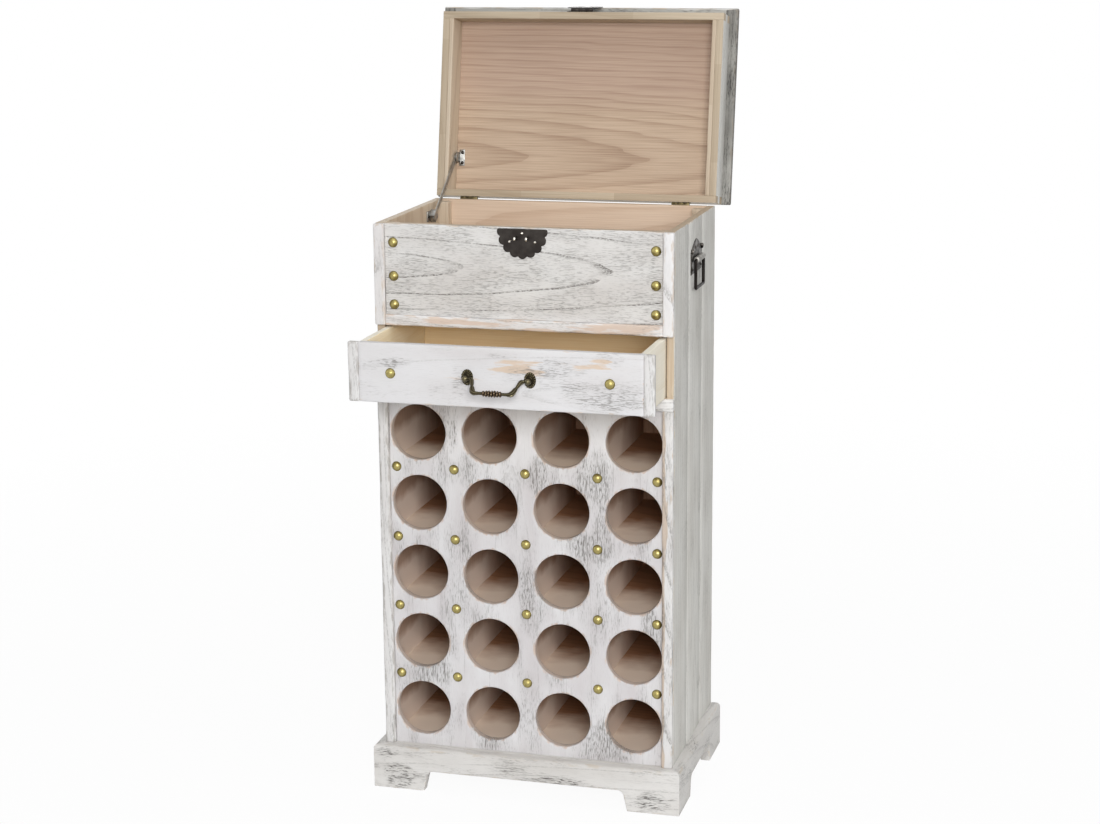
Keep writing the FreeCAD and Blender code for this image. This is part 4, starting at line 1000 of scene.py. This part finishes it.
wood("drawer_front", "X", "-Y", [drawer_wash, drawer_wash], 1.2, 2.0, heart=drawer_heart,
     back_relief=flipped(bottom_groove("drawer_front")))
wood("drawer_end_strips", "Z", "-Y", [strip_wash, strip_wash], strip_radius, strip_wear, strip_step,
     heart=(60, 40, 60))
# The sides get the lighter copies of the poplar: painted light on faces in shade.
for node, outward in (("drawer_side_left", "X"), ("drawer_side_right", "-X")):
    wood(node, "Y", outward, [drawer_inner_wood_lit, drawer_side_wood_lit], panel_radius, slot="bare_wood",
         front_relief=bottom_groove(node))
wood("drawer_back", "X", "-Y", [drawer_wood, drawer_wood], panel_radius, slot="bare_wood",
     front_relief=bottom_groove("drawer_back"))
wood("drawer_bottom", "X", "Z", [drawer_wood, drawer_wood], 0.5, slot="bare_wood")

# %% [markdown]
# Turned and swept metal.
# Two shapes cover the fittings. A turned shape spins a profile about a line, as a lathe does, and may be
# squeezed to an oval or fluted on the way round. A swept shape carries a ring along a path that lies in one
# plane, and the ring's radius may change along the path and around it.

# %% Turned and swept shapes
around_points = 28


def turned_shape(radius_1, radius_2, height, place, axes, crest=None):
    """Rows of rings: radius_1 and radius_2 along two axes, height along the third, each a row or a row by
    column."""
    angle = np.arange(around_points if np.ndim(radius_1) == 1 else np.shape(radius_1)[1])
    angle = angle * 2 * math.pi / len(angle)
    first = np.reshape(radius_1, (len(height), -1)) * np.cos(angle)
    second = np.reshape(radius_2, (len(height), -1)) * np.sin(angle)
    third = np.reshape(height, (len(height), -1)) + 0 * first
    spun = np.stack([first, second, third], axis=-1).reshape(-1, 3)
    points = np.asarray(place) + spun @ np.asarray(axes, float)
    shade = np.ones_like(first) if crest is None else np.reshape(crest, (len(height), -1)) + 0 * first
    return points, grid_faces(*first.shape, wrap_columns=True), {"crest": shade.ravel()}


def swept_shape(path, normal, radius, wide=1.0, crest=None, count=16):
    """A ring carried along a plane path: each ring lies across the path's direction, its wide side along
    the plane's normal, and both ends close to a point."""
    path = np.concatenate([path[:1], path, path[-1:]])
    radius = np.zeros((len(path) - 2, count)) + radius
    radius = np.concatenate([0 * radius[:1], radius, 0 * radius[-1:]])
    run = np.gradient(path, axis=0)
    run[:2], run[-2:] = path[2] - path[1], path[-2] - path[-3]
    run = run / np.linalg.norm(run, axis=1, keepdims=True)
    side = np.cross(run, normal)
    angle = np.arange(count) * 2 * math.pi / count
    across = radius[:, :, None] * np.cos(angle)[None, :, None] * side[:, None, :]
    above = radius[:, :, None] * wide * np.sin(angle)[None, :, None] * np.asarray(normal, float)
    points = (path[:, None, :] + across + above).reshape(-1, 3)
    shade = np.ones_like(radius)
    if crest is not None:
        shade[1:-1] = np.reshape(crest, (len(path) - 2, -1))
    return points, grid_faces(*radius.shape, wrap_columns=True), {"crest": shade.ravel()}


def rounded_path(corners, radius, run_points=6, bend_points=7):
    """Straight runs with an arc of a radius at each corner: the arc's middle lies on the corner's
    bisector."""
    corners = np.asarray(corners, float)
    path = [corners[:1]]
    for before, corner, after in zip(corners, corners[1:], corners[2:]):
        back, ahead = before - corner, after - corner
        back, ahead = back / np.linalg.norm(back), ahead / np.linalg.norm(ahead)
        half = math.acos(np.clip(back @ ahead, -1, 1)) / 2
        entry, leave = corner + back * radius / math.tan(half), corner + ahead * radius / math.tan(half)
        middle = corner + (back + ahead) / np.linalg.norm(back + ahead) * radius / math.sin(half)
        share = np.linspace(0, 1, bend_points)[:, None]
        chord = entry + (leave - entry) * share - middle
        path += [path[-1][-1] + (entry - path[-1][-1]) * np.linspace(0, 1, run_points)[1:-1, None],
                 middle + chord / np.linalg.norm(chord, axis=1, keepdims=True) * radius]
    path.append(path[-1][-1] + (corners[-1] - path[-1][-1]) * np.linspace(0, 1, run_points)[1:, None])
    return np.concatenate(path)


facing_front = [(1, 0, 0), (0, 0, 1), (0, -1, 0)]
facing_right = [(0, 1, 0), (0, 0, 1), (1, 0, 0)]
print("points round a turned shape:", around_points)


# %% [markdown]
# Studs.
# Upholstery studs are pressed domes with a thin skirt. Each is a turned cap, at the place of its CAD dome,
# dulled towards its rim as painted shade.

# %% Studs
def dome(low, high):
    """A spherical cap on a short skirt: sphere radius = (radius squared + height squared) / twice the
    height."""
    radius, height = (high[0] - low[0]) / 2, high[1] - low[1]
    sphere = (radius ** 2 + height ** 2) / (2 * height)
    angle = np.linspace(math.asin(min(1, radius / sphere)) * 0.985, 0, 8)
    rings = np.concatenate([[0, radius, radius], sphere * np.sin(angle)])
    levels = np.concatenate([[0, 0, height * 0.05], height - sphere + sphere * np.cos(angle)])
    place = ((low[0] + high[0]) / 2, high[1], (low[2] + high[2]) / 2)
    # Duller towards the rim: painted shade at the dome's edge.
    crest = np.clip(1.15 - (rings / radius) ** 3, 0, 1)
    return turned_shape(rings, rings, levels, place, facing_front, crest)


for node in ("chest_studs", "rack_studs", "drawer_studs"):
    domes = [dome(*box) for box in boxes(node)]
    piece(node + "_domes", gathered(domes), node, [aged_brass], 50)
    print(node, len(domes))

# %% [markdown]
# The lock plate.
# A thin iron plate with a straight top and nine scallops. Its outline is read off in polar form: from a
# point in the plate, each ray ends at the farthest of the nine circles that it leaves, or at the straight
# top. Rows along the rays give a flat face and a rounded edge. The eyes are staples whose front bends are
# bright steel: partly rubbed by the hasp, partly painted highlight.

# %% Lock plate, eyes and nails
lock_low, lock_high = boxes("lock_plate")[0]
lobe_radius, lobe_drop, lobe_count = 7.2 * MM, 4.5 * MM, 9


def scallop_outline(angle, middle):
    """Distance from the middle to the plate's edge: the far crossing with each lobe's circle, cut by the
    top line."""
    reach_x = (lock_high[0] - lock_low[0]) / 2 - lobe_radius
    top = lock_high[2]
    reach_z = top - lock_low[2] - lobe_drop - lobe_radius
    lobe = np.linspace(0, math.pi, lobe_count)
    offset = np.stack([reach_x * np.cos(lobe), top - lobe_drop - reach_z * np.sin(lobe) - middle], axis=-1)
    ray = np.stack([np.cos(angle), np.sin(angle)])
    ahead = offset @ ray
    inside = ahead ** 2 - (offset ** 2).sum(axis=1)[:, None] + lobe_radius ** 2
    hit = np.where(inside > 0, ahead + np.sqrt(np.maximum(inside, 0)), 0).max(axis=0)
    roof = np.where(ray[1] > 0.01, (top - middle) / np.maximum(ray[1], 0.01), np.inf)
    return np.where(hit > 0, np.minimum(hit, roof), roof)


lock_points = 216
lock_angle = np.arange(lock_points) * 2 * math.pi / lock_points
lock_middle = lock_high[2] - 14 * MM
lock_reach = scallop_outline(lock_angle, lock_middle)
lock_thick = lock_high[1] - lock_low[1]
lock_rows = np.array([(0, 1), (0.5, 1), (0.9, 1), (0.97, 1), (0.99, 0.9), (1, 0.6), (1, 0), (0, 0)])
lock_rings = lock_rows[:, :1] * lock_reach[None, :]
lock_place = (0, lock_high[1], lock_middle)
lock_surface = turned_shape(lock_rings, lock_rings, lock_rows[:, 1] * lock_thick, lock_place, facing_front)
piece("lock_plate_scalloped", lock_surface, "lock_plate", [dark_iron], 50)

nail_limit, eye_wire, eye_bend, eye_slack, eye_worn_and_highlit = 3 * MM, 1.1 * MM, 1.9 * MM, 0.02 * MM, 1.4 * MM
eye_parts, nail_parts = [], []
for low, high in boxes("lock_eyes_and_nails"):
    if high[1] - low[1] < nail_limit:
        nail_parts.append(dome(low, high))
        continue
    middle_x, middle_z = (low[0] + high[0]) / 2, (low[2] + high[2]) / 2
    tip = low[1] + eye_wire + eye_slack
    legs = [(middle_x, high[1], middle_z + eye_bend), (middle_x, tip, middle_z + eye_bend),
            (middle_x, tip, middle_z - eye_bend), (middle_x, high[1], middle_z - eye_bend)]
    eye_parts.append(swept_shape(rounded_path(legs, eye_bend * 0.98), (1, 0, 0), eye_wire, 1.5))
eyes = gathered(eye_parts + nail_parts)
eye_faces = sum(len(part[1]) for part in eye_parts)
eye_front = min(low[1] for low, high in boxes("lock_eyes_and_nails"))
face_front = eyes[0][np.array(eyes[1])][:, :, 1].mean(axis=1)
on_eye = np.arange(len(face_front)) < eye_faces
# The front tip of each eye gets bright steel: partly rubbed by the hasp, partly painted highlight.
eye_zones = np.where(on_eye & (face_front > eye_front + eye_worn_and_highlit), 0, 1)
piece("lock_eyes_and_nails_forged", eyes, "lock_eyes_and_nails", [dark_iron, nail_steel], 50,
      eye_zones)
print("lock plate rows and rays:", lock_rings.shape, "eyes:", len(eye_parts), "nails:", len(nail_parts))

# %% [markdown]
# The drawer pull.
# Cast bronze: two oval rosettes with a gadrooned border, each carrying a round knob, and a bail hung
# between the knobs. A rosette is one turned shape that starts as an oval, flutes round its border and ends
# as the knob. The bail is swept along its bent line; its radius swells into beads at the grip and into
# small fluted leaves at the bends.

# %% Drawer pull
rosette_half_x, rosette_half_z = 9 * MM, 12 * MM
post_radius, knob_radius, knob_height = 3.5 * MM, 4.5 * MM, 11 * MM
flutes, flute_points = 18, 108


def rosette(low, high):
    """An oval that rises over a fluted border and a boss to a round post and a knob: radii and height per
    row."""
    oval = np.array([(0, 0, 0), (0.96, 0, 0), (1.0, 0.6, 1), (0.985, 1.4, 1), (0.93, 2.1, 1), (0.84, 2.5, 1),
                     (0.75, 2.35, 0.9), (0.67, 1.9, 0.3), (0.62, 2.1, 0), (0.6, 2.9, 0), (0.54, 3.6, 0),
                     (0.46, 3.95, 0)])
    angle = np.arange(flute_points) * 2 * math.pi / flute_points
    wave = np.cos(flutes * angle)
    ripple = 1 - 0.06 * oval[:, 2:] * (1 - wave) / 2
    lean = np.linspace(math.radians(52), math.pi, 9)
    knob = np.concatenate([[post_radius * 1.1, post_radius * 0.9], knob_radius * np.sin(lean)])
    knob_level = np.concatenate([[4.3 * MM, 6 * MM], knob_height - knob_radius * np.cos(lean)])
    first = np.concatenate([oval[:, :1] * rosette_half_x * ripple, knob[:, None] + 0 * wave])
    second = np.concatenate([oval[:, :1] * rosette_half_z * ripple, knob[:, None] + 0 * wave])
    sunk = 1 - 0.3 * oval[:, 2:] * (1 - wave) / 2
    level = np.concatenate([oval[:, 1:2] * MM * sunk, knob_level[:, None] + 0 * wave])
    shade = np.concatenate([np.where(oval[:, 2:] > 0, 0.95 * ((1 + wave) / 2) ** 2, 0.1 + 0 * wave),
                            np.concatenate([[0.1, 0.1], np.linspace(0.15, 0.95, 9)])[:, None] + 0 * wave])
    place = ((low[0] + high[0]) / 2, high[1], (low[2] + high[2]) / 2)
    return turned_shape(first, second, level, place, facing_front, shade)


piece("drawer_pull_rosettes_cast", gathered([rosette(*box) for box in boxes("drawer_pull_rosettes")]),
      "drawer_pull_rosettes", [antique_bronze], 60)

pull = next(joint for joint in frame["joints"] if joint["name"] == "pull_swing")
pull_tilt = math.radians(-57)
pull_end, pull_neck, pull_shoulder, pull_drop = 41.45 * MM, 5 * MM, 8 * MM, 27 * MM
bead_length, bead_count, bead_high, bead_end, bead_waist = 4.1 * MM, 7, 4.6 * MM, 3.6 * MM, 0.62
neck_x = pull_end - pull_neck
pull_line = [(-pull_end - 3 * MM, 0, 0), (-neck_x, 0, 0), (-neck_x + pull_shoulder, 0, -pull_drop),
             (neck_x - pull_shoulder, 0, -pull_drop), (neck_x, 0, 0), (pull_end + 3 * MM, 0, 0)]
bent = rounded_path(pull_line, 6 * MM, 12, 12)
grip = np.linspace(-bead_length * bead_count / 2, bead_length * bead_count / 2, 99)
grip_line = np.column_stack([grip, 0 * grip, 0 * grip - pull_drop])
left = bent[(bent[:, 0] < grip[0] - 0.2 * MM)]
right = bent[(bent[:, 0] > grip[-1] + 0.2 * MM)]
bail_line = np.concatenate([left, grip_line, right])
bail_points = 20
bail_angle = np.arange(bail_points) * 2 * math.pi / bail_points
inside_grip = np.abs(bail_line[:, 0]) <= grip[-1] + 0.01 * MM
off_middle = np.abs(bail_line[:, 0]) / grip[-1]
bead = np.abs(np.sin(math.pi * (bail_line[:, 0] - grip[0]) / bead_length)) ** 0.6
crown = bead_high - (bead_high - bead_end) * off_middle ** 2
far_x, level_z = np.abs(bail_line[:, 0]), bail_line[:, 2]
low_bend = np.exp(-((far_x - (neck_x - pull_shoulder)) / (4.5 * MM)) ** 2) * (level_z < -15 * MM)
high_bend = np.exp(-((far_x - neck_x) / (3 * MM)) ** 2) * (level_z > -12 * MM)
leaf = np.maximum(low_bend, high_bend * 0.7)
plain = (2.2 + 1.3 * leaf) * MM
in_socket = np.abs(bail_line[:, 0]) > pull_end - 0.5 * MM
plain = np.where(in_socket, 1.6 * MM, plain)
waist = bead_end * bead_waist
bail_radius = np.where(inside_grip, waist + (crown - waist) * bead, plain)
flute = np.cos(6 * bail_angle)[None, :]
bead_number = np.floor((bail_line[:, 0] - grip[0]) / bead_length)
berry = np.cos(6 * bail_angle[None, :] + math.pi * bead_number[:, None])
in_grip = inside_grip[:, None]
leaf_flute = (0.05 + 0.13 * leaf[:, None]) * flute
bail_flute = 1 + np.where(in_grip, 0.1 * bead[:, None] * berry, leaf_flute)
bail_crest = np.where(in_grip, (bead ** 2)[:, None] * (0.5 + 0.45 * berry), 0.4 + 0.4 * flute)
hung = swept_shape(bail_line, (0, 1, 0), bail_radius[:, None] * bail_flute, 1.0,
                   np.clip(bail_crest, 0, 1), bail_points)
pull_place = np.array([0, pull["pos_m"][1], pull["pos_m"][2]])
swung = turned(hung[0], pull_tilt, (0, 0, 0)) + pull_place
on_grip = np.abs(swung[hung[1]][:, :, 0].mean(axis=1)) < grip[-1]
piece("drawer_pull_bail_cast", (swung, hung[1], hung[2]), "drawer_pull_bail",
      [antique_bronze, handled_bronze], 60, np.where(on_grip, 1, 0))
print("rings along the bail:", len(bail_line))

# %% [markdown]
# Side handles.
# Each is a stamped iron plate with a pointed arch on top, rolled over at the front into a tube, and a
# square bail whose ends turn in that tube. The plate is a grid between its foot and its top line, with its
# border turned down; the two shoulders end in small curls.

# %% Side handles
handle = next(joint for joint in frame["joints"] if joint["name"] == "handle_right_swing")
handle_low, handle_high = [box for box in boxes("handle_plates") if box[0][0] > 0][0]
plate_half, plate_height = (handle_high[1] - handle_low[1]) / 2, handle_high[2] - handle_low[2]
plate_top, point_height = handle_high[2], 16 * MM
plate_thick, roll_radius, roll_half = 1.5 * MM, 4.5 * MM, 24 * MM
plate_arch, plate_rise = plate_half * 0.75, 2 * plate_half * 0.12


def three_point_arc(y, start, middle, end):
    """Heights of the circle through three points at places y, on the middle point's side."""
    (x1, z1), (x2, z2), (x3, z3) = start, middle, end
    rows = np.array([[x2 - x1, z2 - z1], [x3 - x2, z3 - z2]]) * 2
    squares = [x2 ** 2 - x1 ** 2 + z2 ** 2 - z1 ** 2, x3 ** 2 - x2 ** 2 + z3 ** 2 - z2 ** 2]
    centre = np.linalg.solve(rows, squares)
    radius = math.hypot(x1 - centre[0], z1 - centre[1])
    rise = np.sqrt(np.maximum(radius ** 2 - (y - centre[0]) ** 2, 0))
    return centre[1] + (rise if z2 > centre[1] else -rise)


def plate_outline(y):
    """The plate's top line: a hollow from the shoulder to the arch, then a convex arc to the point."""
    far = np.abs(y)
    shoulder = plate_top - point_height
    waist_z = shoulder + plate_rise / 2
    dip = ((plate_half + plate_arch) / 2, waist_z - plate_rise)
    swell = (plate_arch / 2, plate_top - plate_rise / 2)
    hollow = three_point_arc(far, (plate_half, shoulder), dip, (plate_arch, waist_z))
    arch = three_point_arc(far, (plate_arch, waist_z), swell, (0, plate_top))
    return np.where(far > plate_arch, hollow, arch)


def handle_plate():
    """The right plate on a grid: along its width and from foot to top line, border rows lowered, back
    flat."""
    border = 1.2 * MM
    inner = np.linspace(-plate_half + border, plate_half - border, 45)
    ends = np.array([plate_half - border / 2, plate_half])
    y = np.concatenate([-ends[::-1], inner, ends])
    top, foot = plate_outline(y), plate_top - plate_height
    share = np.array([0, 0.02, 0.05, 0.3, 0.6, 0.85, 0.95, 0.98, 1])
    z = foot + share[:, None] * (top - foot)[None, :]
    side = np.minimum(1, (plate_half - np.abs(y)) / border)
    lift = np.minimum(np.minimum(1, np.minimum(share, 1 - share) / 0.05)[:, None], side[None, :])
    lift = plate_thick * (0.55 + 0.45 * np.sqrt(np.maximum(lift, 0)))
    front = np.stack([lift, np.broadcast_to(y, z.shape), z], axis=-1)
    back = np.stack([0 * z, np.broadcast_to(y, z.shape), z], axis=-1)
    rows, columns = z.shape
    face = grid_faces(rows, columns)
    count = rows * columns
    number = np.arange(count).reshape(rows, columns)
    ring = np.concatenate([number[0, :-1], number[:-1, -1], number[-1, :0:-1], number[:0:-1, 0]])
    wall = np.stack([ring, np.roll(ring, -1), np.roll(ring, -1) + count, ring + count], axis=1)
    points = np.concatenate([front, back]).reshape(-1, 3)
    return points, np.concatenate([face, face + count, wall]), {"crest": np.ones(2 * count)}


pivot = np.array(handle["pos_m"])
plate_x = handle_low[0]


def handle_holder():
    """Plate, rolled tube, shoulder curls and nail heads of the right handle, and a mark on the tube's
    faces."""
    points, faces, values = handle_plate()
    parts = [(points + np.array([plate_x, pivot[1], 0]), faces, values)]
    tube = np.array([(0, -1.0), (0.75, -1.0), (0.95, -0.985), (1.0, -0.95), (1.0, -0.45),
                     (1.0, 0.45), (1.0, 0.95), (0.95, 0.985), (0.75, 1.0), (0, 1.0)])
    tube_radius = tube[:, 0] * roll_radius
    parts.append(turned_shape(tube_radius, tube_radius, tube[:, 1] * roll_half, pivot,
                              [(0, 0, 1), (1, 0, 0), (0, 1, 0)]))
    nail = np.array([(0, 0), (2.4, 0), (2.4, 0.4), (1.7, 1.1), (0.8, 1.45), (0, 1.5)]) * MM
    nail_places = ((12 * MM, 10 * MM), (plate_height - 7 * MM, plate_half - 8 * MM))
    turn = np.linspace(0, 1.6 * math.pi, 16)
    for side in (-1, 1):
        coil = (3.6 - 1.9 * turn / turn[-1]) * MM
        curl_y = pivot[1] + side * (plate_half - 5 * MM + coil * np.sin(turn))
        curl_z = plate_top - point_height + 1 * MM - coil * np.cos(turn)
        line = np.stack([0 * turn + plate_x + 2.4 * MM, curl_y, curl_z], axis=-1)
        parts.append(swept_shape(line, (1, 0, 0), 0.9 * MM, 2.4, count=10))
        for drop, off in nail_places:
            place = (plate_x + plate_thick, pivot[1] + side * off, plate_top - drop)
            parts.append(turned_shape(nail[:, 0], nail[:, 0], nail[:, 1], place, facing_right))
    on_tube = [np.full(len(part[1]), number == 1) for number, part in enumerate(parts)]
    return gathered(parts), np.concatenate(on_tube)


def other_side(surface):
    """The same piece mirrored to the cabinet's left."""
    return surface[0] * np.array([-1, 1, 1]), surface[1], surface[2]


holder, roll_zones = handle_holder()
both = gathered([holder, other_side(holder)])
piece("handle_plates_stamped", both, "handle_plates", [worn_iron, bare_iron], 45,
      np.tile(roll_zones, 2))
bail_low, bail_high = boxes("handle_bail_right")[0]
bail_inset, pin_end = 2.5 * MM, roll_half - 2 * MM
bail_half, bail_drop = (bail_high[1] - bail_low[1]) / 2 - bail_inset, pivot[2] - bail_low[2] - bail_inset
bail_corners = pivot + np.array([
    (0, -pin_end, 0), (0, -bail_half, 0), (0, -bail_half, -bail_drop),
    (0, bail_half, -bail_drop), (0, bail_half, 0), (0, pin_end, 0)])
bail_path = rounded_path(bail_corners, 2.6 * MM, 8, 8)
hanging = swept_shape(bail_path, (1, 0, 0), 2.4 * MM, 1.0, count=14)
piece("handle_bail_right_bent", hanging, "handle_bail_right", [black_iron], 60)
piece("handle_bail_left_bent", other_side(hanging), "handle_bail_left", [black_iron], 60)
print("faces of both handle plates:", len(both[1]))

# %% [markdown]
# Small fittings.
# The hinges, the hasp and the lid stay keep their CAD shapes, with edges rounded and a plated or blackened
# finish. What the solids lack is their screws, so round heads are added on the stay's plates.

# %% Hinges, hasp and stay
fittings = (
    (("hinge_case_leaves", "hinge_lid_leaves"), dull_brass, 0.2, "aged_brass"),
    (("hasp_leaf", "hasp_tongue"), dark_iron, 0.3, "dark_iron"),
    (("stay_wall_bracket", "stay_lid_bracket", "stay_strap", "stay_guide"), zinc_steel, 0.3, "zinc_steel"),
)
for nodes, finish, radius, slot in fittings:
    for node in nodes:
        softened(node, "X", one_finish, [finish], radius)
refinish("hinge_pins", dull_brass)

screw = np.array([(0, 0), (2.7, 0), (2.7, 0.3), (2.2, 0.8), (1.4, 1.1), (0, 1.2)]) * MM
flange_thick, flange_inset, flange_screws, wall_screws = 1.5 * MM, 3.9 * MM, 8 * MM, 11 * MM


def screw_heads(node, places, axes):
    """Round heads at places of a plate, lid closed, turned with the lid if the plate is on it."""
    heads = [turned_shape(screw[:, 0], screw[:, 0], screw[:, 1], place, axes) for place in places]
    points, faces, values = gathered(heads)
    surface = (reopened(points, node), faces, values)
    return piece(node + "_screws", surface, node, [dark_iron], 50)


low, high = boxes("stay_lid_bracket")[0]
flange_places = [(high[0] - flange_inset, (low[1] + high[1]) / 2 + shift, high[2] - flange_thick)
                 for shift in (-flange_screws, flange_screws)]
screw_heads("stay_lid_bracket", flange_places, [(1, 0, 0), (0, -1, 0), (0, 0, -1)])
low, high = boxes("stay_wall_bracket")[0]
wall_places = [(low[0] + 2 * MM, (low[1] + high[1]) / 2 + shift, (low[2] + high[2]) / 2)
               for shift in (-wall_screws, wall_screws)]
screw_heads("stay_wall_bracket", wall_places, facing_right)
print("screw heads:", len(flange_places) + len(wall_places))

# %% [markdown]
# The studio.
# A sheet of white paper under the cabinet fades into a white surround, as in a catalogue. The camera, and
# mirrors, see both at full white, while the light that they throw is weaker, so the cabinet keeps its own
# colours and its soft shadow. A large lamp stands in front. Weaker ones on the right, on the left, above
# and behind fill the shadows, so the right side falls a little darker and the back can still be seen.

# %% Floor, world and lamps
floor_half, fade_from, fade_to, floor_lines = 2.6, 0.7, 2.4, 9
corner = np.linspace(-floor_half, floor_half, floor_lines)
floor_x, floor_y = np.meshgrid(corner, corner)
floor_mesh = bpy.data.meshes.new("white_paper")
floor_points = np.stack([floor_x, floor_y, 0 * floor_x], axis=-1).reshape(-1, 3)
floor_mesh.from_pydata(floor_points.tolist(), [], grid_faces(floor_lines, floor_lines).tolist())
floor = bpy.data.objects.new("white_paper", floor_mesh)
bpy.context.scene.collection.objects.link(floor)


def seen_rays(tree):
    """1 for what the camera or a mirror sees, 0 for the light thrown on things."""
    path = add(tree, "ShaderNodeLightPath").outputs
    mirrors = combine(tree, "MAXIMUM", path["Is Glossy Ray"], path["Is Transmission Ray"])
    return combine(tree, "MAXIMUM", path["Is Camera Ray"], mirrors)


floor_paint, tree = blank("white_studio_paper")
matte = add(tree, "ShaderNodeBsdfDiffuse", {"Color": light("#F4F4F4")})
glow = add(tree, "ShaderNodeEmission", {"Color": (1, 1, 1, 1), "Strength": 1.0})
share = combine(tree, "MULTIPLY", seen_rays(tree), 0.95)
paper = add(tree, "ShaderNodeMixShader", {0: share, 1: matte.outputs[0], 2: glow.outputs[0]})
place = add(tree, "ShaderNodeTexCoord").outputs["Object"]
away = add(tree, "ShaderNodeVectorMath", {0: place}, operation="LENGTH").outputs["Value"]
fade = add(tree, "ShaderNodeMapRange", {0: away, 1: fade_from, 2: fade_to}).outputs[0]
clear = add(tree, "ShaderNodeBsdfTransparent")
faded = add(tree, "ShaderNodeMixShader", {0: fade, 1: paper.outputs[0], 2: clear.outputs[0]})
add(tree, "ShaderNodeOutputMaterial", {"Surface": faded.outputs[0]})
floor_mesh.materials.append(floor_paint)

world = bpy.data.worlds.new("white_surround")
bpy.context.scene.world = world
world.use_nodes = True
tree = world.node_tree
tree.nodes.clear()
strength = add(tree, "ShaderNodeMapRange", {0: seen_rays(tree), 3: 0.24, 4: 1.0}).outputs[0]
surround = add(tree, "ShaderNodeBackground", {"Color": (1, 1, 1, 1), "Strength": strength})
add(tree, "ShaderNodeOutputWorld", {"Surface": surround.outputs[0]})


def lamp(name, place, target, size, power):
    """A square soft lamp: its back axis points from the target to its place."""
    back = np.asarray(place, float) - np.asarray(target, float)
    back = back / np.linalg.norm(back)
    right = np.cross((0, 0, 1), back)
    right = right / np.linalg.norm(right)
    data = bpy.data.lights.new(name, "AREA")
    data.shape = "SQUARE"
    data.size = size
    data.energy = power
    made = bpy.data.objects.new(name, data)
    pose = np.eye(4)
    pose[:3, :3] = np.column_stack([right, np.cross(back, right), back])
    pose[:3, 3] = place
    made.matrix_world = Matrix(pose.tolist())
    bpy.context.scene.collection.objects.link(made)
    return made


lamp_aim = (0, -0.2, 0.6)
lamps = (
    ("key_softbox", (1.2, -3.8, 1.9), 1.4, 105),
    ("side_fill", (3.2, -0.8, 1.8), 1.6, 18),
    ("top_fill", (0.3, -1.0, 3.4), 1.6, 12),
    ("left_fill", (-3.4, -0.6, 1.8), 1.6, 12),
    ("back_fill", (-0.6, 3.8, 1.9), 2.0, 42),
)
for name, place, size, power in lamps:
    lamp(name, place, lamp_aim, size, power)
print("lamps:", len(lamps))
bpy.context.scene.view_settings.view_transform = "Standard"
